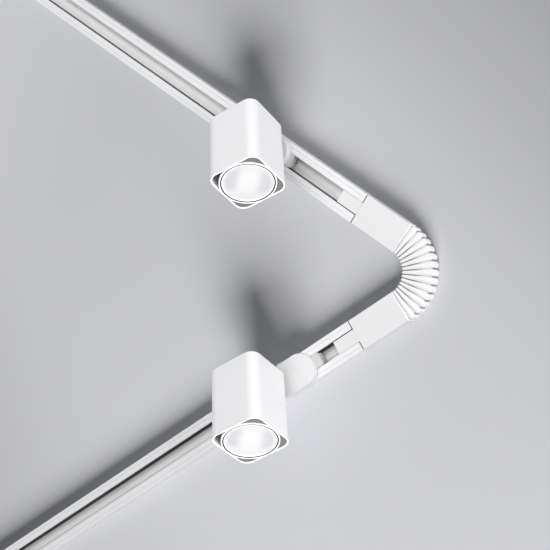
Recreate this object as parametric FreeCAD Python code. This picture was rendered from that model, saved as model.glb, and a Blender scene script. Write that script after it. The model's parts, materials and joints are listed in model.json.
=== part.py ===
"""Two square track spotlights on a pair of surface track rails joined by a flexible corner.

Millimetres, +Z up.  The ceiling is the plane Z = 0 and everything hangs below it.
The origin is midway between the two fixing holes of rail 1, on the ceiling plane.
+X runs along rail 1, away from the flexible corner.

Local frames used below
    rail frame     x along the rail from the corner point outwards, y across it, z = 0 at the ceiling
    adapter frame  x along the rail towards the adapter's long end, origin on the pan axis
    head frame     head aimed straight down, origin on the tilt pin, x along the pin,
                   +y towards the side of the head that faces down when the head is raised
"""
import FreeCAD
import Part
import math
import os

Vector = FreeCAD.Vector
Placement = FreeCAD.Placement
Rotation = FreeCAD.Rotation
X_AXIS = Vector(1, 0, 0)
Y_AXIS = Vector(0, 1, 0)
Z_AXIS = Vector(0, 0, 1)

# ---- Driving dimensions: fits and cuts ---------------------------------------------
SLIP_GAP = 0.1             # between pieces that slip together
RUNNING_GAP = 0.05         # radial play of a shaft in its bore
OVERRUN = 1.0              # how far a cut passes beyond the face it opens

# ---- Driving dimensions: rails ----------------------------------------------------
RAIL_WIDTH = 35.0
RAIL_HEIGHT = 17.0
RAIL_LENGTH = 640.0
RAIL_WALL = 1.5
RAIL_WEB = 1.8
SLOT_WIDTH = 16.0
LIP_RETURN = 1.6           # height of the upturned edge along each lip
LIP_RETURN_THICKNESS = 1.2
LIP_GROOVE_OFFSET = 4.0    # from the rail's outer side to the groove's middle
LIP_GROOVE_WIDTH = 0.9
LIP_GROOVE_DEPTH = 0.5
FIXING_SPACING = 440.0
FIXING_HOLE_R = 2.25
INSULATOR_THICKNESS = 2.5
CONTACT_GROOVE_Z = (-12.0, -9.0)
STRIP_GAP = 0.5            # from the insulator's face to the copper in its groove
STRIP_THICKNESS = 1.0
EARTH_STRIP = (6.0, 1.0)   # width, thickness
EARTH_HOLE_R = 2.55        # around each fixing hole
STRIP_SETBACK = 2.0        # from the rail's end to the strips' ends

# ---- Driving dimensions: flexible corner ---------------------------------------------
TURN_ANGLE = 114.0         # change of direction from one rail to the other
CORNER_TO_RAIL = 122.0     # corner point to the rail's end, along the rail
CORNER_TO_BELLOWS = 65.0   # corner point to the bellows' end face
TONGUE_LENGTH = 27.0
TONGUE_STEP = 0.4          # the tongue's face sits this far above the cover's face
COVER_WALL = 1.6
COVER_EDGE_R = 0.9
BASE_THICKNESS = 2.0
PLEATS = 13
PLEAT_WIDTH = 36.0
PLEAT_HEIGHT = 16.6
PLEAT_DEPTH = 3.4          # from ridge to valley
PLEAT_CORNER_R = 4.0
BELLOWS_WALL = 1.0
WIRE_R = 1.5
BLADE_Z = (-9.9, -9.1)     # connector blades, level with the liners' contact grooves

# ---- Driving dimensions: adapters ----------------------------------------------------
PLATE_WIDTH = 36.0
PLATE_SHORT = 29.5         # pan axis to the plate's short end
PLATE_LONG = 61.5          # pan axis to the plate's long end
PLATE_THICKNESS = 8.7
PLATE_GAP = 0.3            # between the rail's lips and the plate
PLATE_WALL = 1.5
CORE_SHORT = 33.2
CORE_LONG = 68.6
CORE_CORNER_R = 2.0
CORE_WIDTH = 15.2
CORE_TOP_Z = -6.5
ROTOR_X = 25.0             # pan axis to the lock rotor's axis
ROTOR_R = 5.0
LOCK_TAB_R = 12.4
BLADE_R = 13.6

# ---- Driving dimensions: spotlights --------------------------------------------------
HEAD_WIDTH = 61.5
HEAD_LENGTH = 87.0
HEAD_CORNER_R = 11.5
HEAD_WALL = 1.8
HEAD_REAR_EDGE_R = 1.0
PIN_Z = -43.0              # tilt pin below the ceiling
PIN_TO_REAR = 9.3          # tilt pin to the head's rear edge
PIN_TO_AXIS = 22.0         # tilt pin to the head's centre line
PIN_R = 2.0
ARM_WIDTH = 10.0
ARM_R = 5.5
STEM_R = 5.0
SWIVEL_R = 11.0
BEZEL_R = 30.15
BEZEL_INNER_R = 28.5
BEZEL_PROUD = 0.4
BEZEL_DEPTH = 4.2
BEZEL_FLOOR = 1.2          # thickness of the bezel's inner floor, the lens seat
LENS_SEAT_R = 23.6
LENS_RING_R = 27.2
LENS_R = 26.2
LENS_EDGE = 1.3
LENS_DOME = 1.0

# Where each spotlight sits and how it is aimed: distance of its pan axis from the corner
# point, direction of its tilt pin about the vertical, and tilt up from straight down.
SPOTS = {
    1: {"from_corner": 253.6, "pin_angle": -56.3, "tilt": 59.8},
    2: {"from_corner": 238.6, "pin_angle": -60.3, "tilt": 55.4},
}

# ---- Derived dimensions --------------------------------------------------------------
RAIL_FAR = CORNER_TO_RAIL + RAIL_LENGTH
RAIL_MIDDLE = CORNER_TO_RAIL + RAIL_LENGTH / 2
BEND_R = CORNER_TO_BELLOWS / math.tan(math.radians(TURN_ANGLE / 2))
BLADE_X = (CORNER_TO_RAIL + 6, CORNER_TO_RAIL + 20)
PLATE_TOP_Z = -RAIL_HEIGHT - PLATE_GAP
PLATE_BOTTOM_Z = PLATE_TOP_Z - PLATE_THICKNESS
LIP_TOP_Z = -RAIL_HEIGHT + RAIL_WALL
HEAD_REAR_Z = PIN_TO_REAR
HEAD_FRONT_Z = PIN_TO_REAR - HEAD_LENGTH
HEAD_INNER_WIDTH = HEAD_WIDTH - 2 * HEAD_WALL
SEAT_Z = HEAD_FRONT_Z - BEZEL_PROUD + BEZEL_DEPTH


# ---- Helpers -------------------------------------------------------------------------
def block(x, y, z):
    """Box from (low, high) pairs along each axis."""
    return Part.makeBox(x[1] - x[0], y[1] - y[0], z[1] - z[0], Vector(x[0], y[0], z[0]))


def disc(radius, z, x=0.0, y=0.0):
    """Upright cylinder between two heights."""
    return Part.makeCylinder(radius, z[1] - z[0], Vector(x, y, z[0]), Z_AXIS)


def ring(outer, inner, z, x=0.0, y=0.0):
    """Upright tube between two heights."""
    return disc(outer, z, x, y).cut(disc(inner, z, x, y))


def cross_rod(radius, x, y=0.0, z=0.0):
    """Cylinder lying along X between two places."""
    return Part.makeCylinder(radius, x[1] - x[0], Vector(x[0], y, z), X_AXIS)


def fuse(shapes):
    """One solid from several that touch or overlap."""
    whole = shapes[0]
    for shape in shapes[1:]:
        whole = whole.fuse(shape)
    return whole.removeSplitter()


def extrude_section(points, start, length):
    """Straight bar along X whose section is a closed list of (y, z) points."""
    corners = [Vector(start, y, z) for y, z in points]
    face = Part.Face(Part.makePolygon(corners + corners[:1]))
    return face.extrude(Vector(length, 0, 0))


def stadium(x_low, x_high, width, z):
    """Flat bar with full-round ends."""
    radius = width / 2
    return fuse([
        block((x_low + radius, x_high - radius), (-radius, radius), z),
        disc(radius, z, x_low + radius),
        disc(radius, z, x_high - radius),
    ])


def rounded_square(width, radius, z, y=0.0):
    """Square prism with rounded upright edges, centred on (0, y)."""
    half = width / 2
    prism = block((-half, half), (y - half, y + half), z)
    upright = [e for e in prism.Edges if abs(e.Vertexes[0].X - e.Vertexes[1].X) < 1e-6
               and abs(e.Vertexes[0].Y - e.Vertexes[1].Y) < 1e-6]
    return prism.makeFillet(radius, upright)


def edges_at_height(shape, z):
    """Edges of a shape that lie in one level plane."""
    return [e for e in shape.Edges if abs(e.BoundBox.ZMin - z) < 1e-6 and abs(e.BoundBox.ZMax - z) < 1e-6]


def save(name, shape):
    """Write one node as a STEP file."""
    if not shape.isValid():
        raise ValueError(name + " is not a valid shape")
    shape.exportStep(os.path.join("parts", name + ".step"))


def placed(shape, placement):
    """A copy of a shape moved by a placement."""
    copy = shape.copy()
    copy.Placement = placement.multiply(copy.Placement)
    return copy


# ---- Placements ----------------------------------------------------------------------
CORNER = Vector(-RAIL_MIDDLE, 0, 0)
RAIL_ANGLES = {1: 0.0, 2: TURN_ANGLE - 180.0}


def rail_placement(rail):
    """Rail frame to row frame."""
    return Placement(CORNER, Rotation(Z_AXIS, RAIL_ANGLES[rail]))


def adapter_placement(spot):
    """Adapter frame to row frame; spot 2 has its long end towards the corner."""
    turn = 0.0 if spot == 1 else 180.0
    along = Placement(Vector(SPOTS[spot]["from_corner"], 0, 0), Rotation(Z_AXIS, turn))
    return rail_placement(spot).multiply(along)


def pan_placement(spot):
    """Frame of the swivelling arm: origin on the ceiling above the pan axis, x along the pin."""
    base = adapter_placement(spot).Base
    return Placement(base, Rotation(Z_AXIS, SPOTS[spot]["pin_angle"]))


def head_placement(spot):
    """Head frame to row frame: at the tilt pin, raised by the tilt angle."""
    raised = Placement(Vector(0, 0, PIN_Z), Rotation(X_AXIS, -SPOTS[spot]["tilt"]))
    return pan_placement(spot).multiply(raised)


# ---- Rails ---------------------------------------------------------------------------
def rail_profile():
    """Extruded channel with a slotted face, fine grooves along its lips and two fixing holes."""
    half = RAIL_WIDTH / 2
    inner = half - RAIL_WALL
    slot = SLOT_WIDTH / 2
    edge = slot + LIP_RETURN_THICKNESS
    groove_y = half - LIP_GROOVE_OFFSET
    groove_half = LIP_GROOVE_WIDTH / 2
    right = [
        (half, 0), (half, -RAIL_HEIGHT),
        (groove_y + groove_half, -RAIL_HEIGHT), (groove_y, -RAIL_HEIGHT + LIP_GROOVE_DEPTH),
        (groove_y - groove_half, -RAIL_HEIGHT), (slot, -RAIL_HEIGHT),
        (slot, LIP_TOP_Z + LIP_RETURN), (edge, LIP_TOP_Z + LIP_RETURN), (edge, LIP_TOP_Z),
        (inner, LIP_TOP_Z), (inner, -RAIL_WEB),
    ]
    left = [(-y, z) for y, z in reversed(right)]
    channel = extrude_section(right + left, CORNER_TO_RAIL, RAIL_LENGTH)
    for side in (-1, 1):
        hole_x = RAIL_MIDDLE + side * FIXING_SPACING / 2
        channel = channel.cut(disc(FIXING_HOLE_R, (-RAIL_WEB - OVERRUN, OVERRUN), hole_x))
    return channel


def insulator_section(side):
    """Section of one insulating liner, with its contact groove open to the slot."""
    wall = RAIL_WIDTH / 2 - RAIL_WALL - SLIP_GAP
    face = wall - INSULATOR_THICKNESS
    groove = face + STRIP_GAP + STRIP_THICKNESS
    low, high = CONTACT_GROOVE_Z
    bottom = LIP_TOP_Z + SLIP_GAP
    top = -RAIL_WEB - SLIP_GAP
    points = [(wall, top), (wall, bottom), (face, bottom), (face, low), (groove, low), (groove, high),
              (face, high), (face, top)]
    return [(side * y, z) for y, z in points]


def rail_insulators():
    """The two liners in the channel's sides."""
    bars = [extrude_section(insulator_section(side), CORNER_TO_RAIL, RAIL_LENGTH) for side in (-1, 1)]
    return Part.makeCompound(bars)


def rail_conductors():
    """Live and neutral strips in the liners, and the earth strip under the web."""
    face = RAIL_WIDTH / 2 - RAIL_WALL - SLIP_GAP - INSULATOR_THICKNESS
    near, far = face + STRIP_GAP, face + STRIP_GAP + STRIP_THICKNESS
    low, high = CONTACT_GROOVE_Z
    span = (CORNER_TO_RAIL + STRIP_SETBACK, RAIL_FAR - STRIP_SETBACK)
    height = (low + SLIP_GAP, high - SLIP_GAP)
    strips = [block(span, (near, far), height), block(span, (-far, -near), height)]
    width, thickness = EARTH_STRIP
    earth = block(span, (-width / 2, width / 2), (-RAIL_WEB - thickness, -RAIL_WEB))
    for side in (-1, 1):
        hole_x = RAIL_MIDDLE + side * FIXING_SPACING / 2
        earth = earth.cut(disc(EARTH_HOLE_R, (-RAIL_WEB - thickness - OVERRUN, 0), hole_x))
    return Part.makeCompound(strips + [earth])


# ---- Rail ends -----------------------------------------------------------------------
LIVE_END_LENGTH = 50.0
LIVE_END_ENTRY_R = 4.5
LIVE_END_WALL = 2.0
LIVE_TONGUE_GAP = 0.2      # each side of the tongue in the slot
LIVE_TONGUE_HEIGHT = 9.0   # from the rail's face to the tongue's top
PASSAGE_Y = (-4.0, 4.0)    # wire passage from the housing into the rail
PASSAGE_Z = (-13.0, -6.0)
TERMINAL_SETBACK = 12.0    # rail's end to the terminal block
TERMINAL_SIZE = (14.0, 24.0)
TERMINAL_LOW_Z = -12.0
TERMINAL_PITCH = 8.0
TERMINAL_SCREW = (1.6, 4.0)     # radius and depth of each screw's well
TERMINAL_WIRE = (1.8, -6.0)     # radius and height of each wire's hole
CAP_THICKNESS = 2.5
CAP_PLUG = 9.0
CAP_PLUG_GAP = 0.3
CAP_PLUG_TOP_GAP = 1.5


def live_end_housing():
    """Feed housing at rail 1's far end: a hollow box with a cable entry and a tongue into the slot."""
    half = RAIL_WIDTH / 2
    outer = block((RAIL_FAR, RAIL_FAR + LIVE_END_LENGTH), (-half, half), (-RAIL_HEIGHT, 0))
    lower_edges = edges_at_height(outer, -RAIL_HEIGHT)
    outer = outer.makeFillet(COVER_EDGE_R, lower_edges)
    wall = LIVE_END_WALL
    hollow = block((RAIL_FAR + wall, RAIL_FAR + LIVE_END_LENGTH - wall), (wall - half, half - wall),
                   (wall - RAIL_HEIGHT, -wall))
    far = RAIL_FAR + LIVE_END_LENGTH
    entry = cross_rod(LIVE_END_ENTRY_R, (far - wall - OVERRUN, far + OVERRUN), 0, -RAIL_HEIGHT / 2)
    passage = block((RAIL_FAR - OVERRUN, RAIL_FAR + wall + OVERRUN), PASSAGE_Y, PASSAGE_Z)
    tongue_half = SLOT_WIDTH / 2 - LIVE_TONGUE_GAP
    tongue = block((RAIL_FAR - TONGUE_LENGTH, RAIL_FAR), (-tongue_half, tongue_half),
                   (-RAIL_HEIGHT + TONGUE_STEP, -RAIL_HEIGHT + LIVE_TONGUE_HEIGHT))
    return fuse([outer.cut(hollow).cut(entry), tongue]).cut(passage)


def live_end_terminals():
    """Three-way terminal block inside the feed housing, on its ceiling-side wall."""
    length, width = TERMINAL_SIZE
    near = RAIL_FAR + TERMINAL_SETBACK
    body = block((near, near + length), (-width / 2, width / 2), (TERMINAL_LOW_Z, -LIVE_END_WALL))
    screw_r, screw_depth = TERMINAL_SCREW
    wire_r, wire_z = TERMINAL_WIRE
    for row in (-1, 0, 1):
        y = row * TERMINAL_PITCH
        well = disc(screw_r, (TERMINAL_LOW_Z - OVERRUN, TERMINAL_LOW_Z + screw_depth), near + length / 2, y)
        body = body.cut(well)
        body = body.cut(cross_rod(wire_r, (near - OVERRUN, near + length + OVERRUN), y, wire_z))
    return body


def end_cap():
    """Closing plate of rail 2 with a plug that enters the slot."""
    half = RAIL_WIDTH / 2
    plate = block((RAIL_FAR, RAIL_FAR + CAP_THICKNESS), (-half, half), (-RAIL_HEIGHT, 0))
    outer_edges = [e for e in plate.Edges if e.BoundBox.XMin > RAIL_FAR + CAP_THICKNESS - 1e-6]
    plate = plate.makeFillet(COVER_EDGE_R, outer_edges)
    plug_half = SLOT_WIDTH / 2 - CAP_PLUG_GAP
    plug = block((RAIL_FAR - CAP_PLUG, RAIL_FAR), (-plug_half, plug_half),
                 (-RAIL_HEIGHT + TONGUE_STEP, -RAIL_WEB - CAP_PLUG_TOP_GAP))
    return fuse([plate, plug])


# ---- Flexible corner -----------------------------------------------------------------
JOINT_GAP = 0.15           # between a corner housing and the rail's end
BASE_TONGUE_HALF = 7.6
BASE_TONGUE_Z = (-9.0, -4.2)
BASE_TONGUE_BACK = 12.0    # how far the tongue reaches back into the housing
POST_LENGTH = 8.0
COVER_TONGUE_HALF = 7.8
COVER_TONGUE_INNER = 6.9   # on the side towards the inside of the corner
COVER_TONGUE_TOP_Z = -9.2
COVER_TONGUE_BACK = 6.0
WIRE_WAY_Y = (-9.0, 9.0)
WIRE_WAY_Z = (-13.0, -4.0)
BLADE_ROOM = 0.5
BLADE_Y = (4.0, 13.75)
EARTH_BLADE_X = (CORNER_TO_RAIL + 4, CORNER_TO_RAIL + 22)
EARTH_BLADE = (5.0, 0.8)   # width, thickness
WIRE_OFFSETS = (-4.5, 0.0, 4.5)
WIRE_REACH = 14.0          # straight length into each housing
BELLOWS_FLAT = 0.4         # least flat left on each side face of the bellows


def connector_base():
    """Ceiling-side plate of a corner housing, with the upper half of its tongue."""
    half = RAIL_WIDTH / 2
    plate = block((CORNER_TO_BELLOWS, CORNER_TO_RAIL), (-half, half), (-BASE_THICKNESS, 0))
    across = (-BASE_TONGUE_HALF, BASE_TONGUE_HALF)
    back = CORNER_TO_RAIL - BASE_TONGUE_BACK
    tongue = block((back, CORNER_TO_RAIL + TONGUE_LENGTH), across, BASE_TONGUE_Z)
    post = block((back, back + POST_LENGTH), across, (BASE_TONGUE_Z[1], -BASE_THICKNESS))
    return fuse([plate, tongue, post])


def connector_cover(inside):
    """Shell over a corner housing, open to the base, with the face half of the tongue.

    The inside of the corner is at negative y where inside is -1 and at positive y where it is 1.
    """
    half = RAIL_WIDTH / 2
    wall = COVER_WALL
    outer = block((CORNER_TO_BELLOWS, CORNER_TO_RAIL - JOINT_GAP), (-half, half), (-RAIL_HEIGHT, -BASE_THICKNESS))
    long_edges = [e for e in edges_at_height(outer, -RAIL_HEIGHT) if e.BoundBox.XLength > 1]
    outer = outer.makeFillet(COVER_EDGE_R, long_edges)
    above = -BASE_THICKNESS + OVERRUN
    hollow = block((CORNER_TO_BELLOWS + wall, CORNER_TO_RAIL - wall), (wall - half, half - wall),
                   (wall - RAIL_HEIGHT, above))
    side = COVER_TONGUE_HALF
    low, high = -RAIL_HEIGHT + TONGUE_STEP, COVER_TONGUE_TOP_Z
    back, tip = CORNER_TO_RAIL - COVER_TONGUE_BACK, CORNER_TO_RAIL + TONGUE_LENGTH
    across = sorted((inside * COVER_TONGUE_INNER, -inside * side))
    tongue = block((back, tip), across, (low, high))
    tongue_hollow = block((back - OVERRUN, tip - wall), (across[0] + wall, across[1] - wall),
                          (low + wall, high + OVERRUN))
    base_way = block((CORNER_TO_RAIL - BASE_TONGUE_BACK - OVERRUN, CORNER_TO_RAIL + OVERRUN), (-side, side),
                     (high, above))
    wire_way = block((CORNER_TO_BELLOWS - OVERRUN, CORNER_TO_BELLOWS + wall + OVERRUN), WIRE_WAY_Y, WIRE_WAY_Z)
    blade_way = block((BLADE_X[0] - BLADE_ROOM, BLADE_X[1] + BLADE_ROOM), WIRE_WAY_Y,
                      (BLADE_Z[0] - SLIP_GAP, high + OVERRUN))
    shell = outer.cut(hollow)
    return fuse([shell, tongue]).cut(Part.makeCompound([tongue_hollow, base_way, wire_way, blade_way]))


def connector_contacts():
    """Two side blades for live and neutral, and an earth blade on top of the tongue."""
    near, far = BLADE_Y
    blades = [block(BLADE_X, (near, far), BLADE_Z), block(BLADE_X, (-far, -near), BLADE_Z)]
    width, thickness = EARTH_BLADE
    base = BASE_TONGUE_Z[1]
    earth = block(EARTH_BLADE_X, (-width / 2, width / 2), (base, base + thickness))
    return Part.makeCompound(blades + [earth])


def bellows_wire(angle, width, height, radius):
    """Rounded rectangle across the bend at an angle from its start, as a closed wire."""
    half_w, half_h = width / 2, height / 2
    radius = min(radius, half_h - BELLOWS_FLAT)
    points = []
    for cy, cz, start in ((1, 1, 0), (-1, 1, 90), (-1, -1, 180), (1, -1, 270)):
        centre = (cy * (half_w - radius), cz * (half_h - radius))
        for step in (0, 45, 90):
            turn = math.radians(start + step)
            points.append((centre[0] + radius * math.cos(turn), centre[1] + radius * math.sin(turn)))
    bend = Placement(Vector(CORNER_TO_BELLOWS, -BEND_R, -RAIL_HEIGHT / 2), Rotation(Z_AXIS, angle))
    spots = [bend.multVec(Vector(0, BEND_R + across, up)) for across, up in points]
    edges = []
    for corner in range(4):
        first, middle, last = spots[3 * corner:3 * corner + 3]
        edges.append(Part.Arc(first, middle, last).toShape())
        edges.append(Part.LineSegment(last, spots[(3 * corner + 3) % len(spots)]).toShape())
    return Part.Wire(edges)


def bellows_stations():
    """Angle and ridge share (1 on a ridge, 0 in a valley) of each section along the bend."""
    half_pleat = TURN_ANGLE / (2 * PLEATS)
    return [(half_pleat * index, float(index % 2)) for index in range(2 * PLEATS + 1)]


def flex_bellows():
    """Pleated sleeve around the bend, one solid with a hollow middle."""
    skins = []
    for inset in (0.0, BELLOWS_WALL):
        wires = []
        for angle, ridge in bellows_stations():
            shrink = 2 * (inset + PLEAT_DEPTH * (1 - ridge))
            wires.append(bellows_wire(angle, PLEAT_WIDTH - shrink, PLEAT_HEIGHT - shrink, PLEAT_CORNER_R))
        skins.append(Part.makeLoft(wires, True, True))
    return skins[0].cut(skins[1])


def flex_wires():
    """Three insulated wires through the bellows, from one corner housing to the other."""
    wires = []
    bend_centre = Vector(CORNER_TO_BELLOWS, -BEND_R, -RAIL_HEIGHT / 2)
    far_end = Placement(bend_centre, Rotation(Z_AXIS, TURN_ANGLE))
    for across in WIRE_OFFSETS:
        mouth = Vector(CORNER_TO_BELLOWS, across, -RAIL_HEIGHT / 2)
        circle = Part.Wire(Part.makeCircle(WIRE_R, mouth, X_AXIS))
        curve = Part.Face(circle).revolve(bend_centre, Z_AXIS, TURN_ANGLE)
        lead_1 = Part.makeCylinder(WIRE_R, WIRE_REACH, mouth, X_AXIS)
        far_lead = Part.makeCylinder(WIRE_R, WIRE_REACH, Vector(-WIRE_REACH, BEND_R + across, 0), X_AXIS)
        wires.append(fuse([curve, lead_1, placed(far_lead, far_end)]))
    return Part.makeCompound(wires)


# ---- Adapter -------------------------------------------------------------------------
ADAPTER_SCREWS_X = (-21.0, 53.0)
SCREW_HEAD_R = 2.5
SCREW_HEAD_HALF = 0.9      # the head sinks this far below the flange's face and stands this far above
SCREW_SHANK_R = 1.25
SCREW_SLOT = (4.0, 0.6, 0.6)    # length, width, depth
SCREW_TIP_ABOVE = 3.0      # from the shell's lower face to the screw's tip
BOSS_R = 3.2
BOSS_FLOOR = 2.5
HOLE_PLAY = 0.15           # radial room around a screw's shank or head
FLANGE_THICKNESS = 1.5
PLATE_EDGE_R = 0.8
LEVER_Z = (-23.0, -21.0)
LEVER_SLOT_X = (ROTOR_X - 4, ROTOR_X + 15)
LEVER_SLOT_PLAY = 0.5
LEVER_SLOT_DEPTH = 3.0
LEVER_WIDTH = 5.0
LEVER_PROUD = 1.2
LEVER_THUMB_R = 1.5
CAVITY_Z = (-14.2, -9.2)   # room for the lock's tabs and blades to turn in
CAVITY_PLAY = 0.6
CORE_WIRE_WAY_R = 3.5
TAB_WIDTH = 7.0
TAB_Z = (-13.6, -12.2)
LOCK_BLADE_Z = (-10.9, -10.1)
LOCK_BLADE_WIDTH = 4.0
SPRING_THICKNESS = 0.5
SPRING_WIDTH = 5.0
SPRING_CENTRE_X = -10.0
SPRING_FOOT = 7.0          # each flat foot
SPRING_RISE = 4.0          # along the slope from foot to crown
SPRING_CROWN = 6.0
SPRING_GAP = 0.3           # between the crown and the earth strip


def adapter_housing():
    """Stadium-shaped shell under the rail, open to the rail, with a side slot for the lock lever."""
    body = stadium(-PLATE_SHORT, PLATE_LONG, PLATE_WIDTH, (PLATE_BOTTOM_Z, PLATE_TOP_Z))
    body = body.makeFillet(PLATE_EDGE_R, edges_at_height(body, PLATE_BOTTOM_Z))
    wall = PLATE_WALL
    hollow = stadium(wall - PLATE_SHORT, PLATE_LONG - wall, PLATE_WIDTH - 2 * wall, (PLATE_BOTTOM_Z + wall, 0))
    shell = body.cut(hollow)
    bosses = [disc(BOSS_R, (PLATE_BOTTOM_Z + wall, PLATE_TOP_Z - FLANGE_THICKNESS), x) for x in ADAPTER_SCREWS_X]
    shell = fuse([shell] + bosses)
    screw_holes = [disc(SCREW_SHANK_R + RUNNING_GAP, (PLATE_BOTTOM_Z + BOSS_FLOOR, 0), x)
                   for x in ADAPTER_SCREWS_X]
    stem_hole = disc(STEM_R + RUNNING_GAP, (PLATE_BOTTOM_Z - OVERRUN, 0))
    lever_slot = block(LEVER_SLOT_X, (-PLATE_WIDTH, -PLATE_WIDTH / 2 + LEVER_SLOT_DEPTH),
                       (LEVER_Z[0] - LEVER_SLOT_PLAY, LEVER_Z[1] + LEVER_SLOT_PLAY))
    return shell.cut(Part.makeCompound(screw_holes + [stem_hole, lever_slot]))


def adapter_core():
    """Lid of the adapter shell with the block that enters the rail's slot."""
    inset = PLATE_WALL + SLIP_GAP
    flange = stadium(inset - PLATE_SHORT, PLATE_LONG - inset, PLATE_WIDTH - 2 * inset,
                     (PLATE_TOP_Z - FLANGE_THICKNESS, PLATE_TOP_Z))
    insert = block((-CORE_SHORT, CORE_LONG), (-CORE_WIDTH / 2, CORE_WIDTH / 2), (PLATE_TOP_Z, CORE_TOP_Z))
    corners = [e for e in insert.Edges if e.BoundBox.ZLength > 1]
    core = fuse([flange, insert.makeFillet(CORE_CORNER_R, corners)])
    below = PLATE_TOP_Z - FLANGE_THICKNESS - OVERRUN
    cavity = disc(BLADE_R + CAVITY_PLAY, CAVITY_Z, ROTOR_X)
    shaft_bore = disc(ROTOR_R + RUNNING_GAP, (below, CAVITY_Z[0] + OVERRUN), ROTOR_X)
    wire_way = disc(CORE_WIRE_WAY_R, (below, CAVITY_Z[0]))
    heads = [disc(SCREW_HEAD_R + HOLE_PLAY, (PLATE_TOP_Z - SCREW_HEAD_HALF, CORE_TOP_Z + OVERRUN), x)
             for x in ADAPTER_SCREWS_X]
    shanks = [disc(SCREW_SHANK_R + HOLE_PLAY, (below, 0), x) for x in ADAPTER_SCREWS_X]
    return core.cut(Part.makeCompound([cavity, shaft_bore, wire_way] + heads + shanks))


def adapter_screws():
    """Two screws that hold the core to the shell, sunk into the core from the rail side."""
    length, width, depth = SCREW_SLOT
    top = PLATE_TOP_Z + SCREW_HEAD_HALF
    screws = []
    for x in ADAPTER_SCREWS_X:
        head = disc(SCREW_HEAD_R, (PLATE_TOP_Z - SCREW_HEAD_HALF, top), x)
        shank = disc(SCREW_SHANK_R, (PLATE_BOTTOM_Z + SCREW_TIP_ABOVE, PLATE_TOP_Z), x)
        slot = block((x - length / 2, x + length / 2), (-width / 2, width / 2), (top - depth, top + OVERRUN))
        screws.append(fuse([head, shank]).cut(slot))
    return Part.makeCompound(screws)


def earth_contact():
    """Bent spring strip on top of the core that reaches up to the earth strip."""
    crown_z = -RAIL_WEB - EARTH_STRIP[1] - SPRING_GAP - SPRING_THICKNESS
    half_crown = SPRING_CROWN / 2
    bend = half_crown + SPRING_RISE
    foot = bend + SPRING_FOOT
    profile = [(-foot, CORE_TOP_Z), (-bend, CORE_TOP_Z), (-half_crown, crown_z), (half_crown, crown_z),
               (bend, CORE_TOP_Z), (foot, CORE_TOP_Z)]
    lifted = [(x, z + SPRING_THICKNESS) for x, z in reversed(profile)]
    corners = [Vector(x + SPRING_CENTRE_X, -SPRING_WIDTH / 2, z) for x, z in profile + lifted]
    return Part.Face(Part.makePolygon(corners + corners[:1])).extrude(Vector(0, SPRING_WIDTH, 0))


def lock_rotor():
    """Locking shaft with two tabs above the lips and a thumb lever at the shell's side."""
    shaft = disc(ROTOR_R, (LEVER_Z[0], CAVITY_Z[1] - 2 * SLIP_GAP), ROTOR_X)
    tabs = block((ROTOR_X - TAB_WIDTH / 2, ROTOR_X + TAB_WIDTH / 2), (-LOCK_TAB_R, LOCK_TAB_R), TAB_Z)
    tabs = tabs.common(disc(LOCK_TAB_R, TAB_Z, ROTOR_X))
    lever = block((ROTOR_X - LEVER_WIDTH / 2, ROTOR_X + LEVER_WIDTH / 2), (-PLATE_WIDTH / 2 - LEVER_PROUD, 0),
                  LEVER_Z)
    thumb = [e for e in lever.Edges if e.BoundBox.YMax < -PLATE_WIDTH / 2 and e.BoundBox.ZLength > 1]
    lever = lever.makeFillet(LEVER_THUMB_R, thumb)
    return fuse([shaft, tabs, lever])


def lock_contacts():
    """Live and neutral blades carried by the locking shaft."""
    outline = disc(BLADE_R, LOCK_BLADE_Z, ROTOR_X).cut(disc(ROTOR_R, LOCK_BLADE_Z, ROTOR_X))
    half = LOCK_BLADE_WIDTH / 2
    strip = block((ROTOR_X - half, ROTOR_X + half), (-BLADE_R, BLADE_R), LOCK_BLADE_Z)
    return Part.makeCompound(outline.common(strip).Solids)


# ---- Swivel arm ----------------------------------------------------------------------
SWIVEL_GAP = 0.2           # between the shell and the swivel disc
SWIVEL_THICKNESS = 2.2
SWIVEL_EDGE_R = 0.6
SWIVEL_LOW_Z = PLATE_BOTTOM_Z - SWIVEL_GAP - SWIVEL_THICKNESS
STEM_TOP_Z = PLATE_BOTTOM_Z + 6.6
STEM_BORE_R = 3.0
NUT_CORNER_R = 8.2
NUT_THICKNESS = 3.0


def pan_stem():
    """Hollow stem through the shell, with the swivel disc under it."""
    stem = disc(STEM_R, (PLATE_BOTTOM_Z - SWIVEL_GAP, STEM_TOP_Z))
    swivel = disc(SWIVEL_R, (SWIVEL_LOW_Z, PLATE_BOTTOM_Z - SWIVEL_GAP))
    swivel = swivel.makeFillet(SWIVEL_EDGE_R, edges_at_height(swivel, SWIVEL_LOW_Z))
    return fuse([stem, swivel]).cut(disc(STEM_BORE_R, (SWIVEL_LOW_Z + OVERRUN, 0)))


def pan_nut():
    """Hexagon nut that holds the stem in the shell."""
    corners = [Rotation(Z_AXIS, 60 * k).multVec(Vector(NUT_CORNER_R, 0, 0)) for k in range(6)]
    hexagon = Part.Face(Part.makePolygon(corners + corners[:1])).extrude(Vector(0, 0, NUT_THICKNESS))
    hexagon.translate(Vector(0, 0, PLATE_BOTTOM_Z + PLATE_WALL + SWIVEL_GAP))
    return hexagon.cut(disc(STEM_R, (PLATE_BOTTOM_Z, 0)))


def tilt_arm():
    """Arm from the swivel disc down to the tilt pin, with a round knuckle."""
    half = ARM_WIDTH / 2
    web = block((-half, half), (-ARM_R, ARM_R), (PIN_Z, SWIVEL_LOW_Z))
    knuckle = cross_rod(ARM_R, (-half, half), 0, PIN_Z)
    return fuse([web, knuckle]).cut(cross_rod(PIN_R + RUNNING_GAP, (-half - OVERRUN, half + OVERRUN), 0, PIN_Z))


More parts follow.
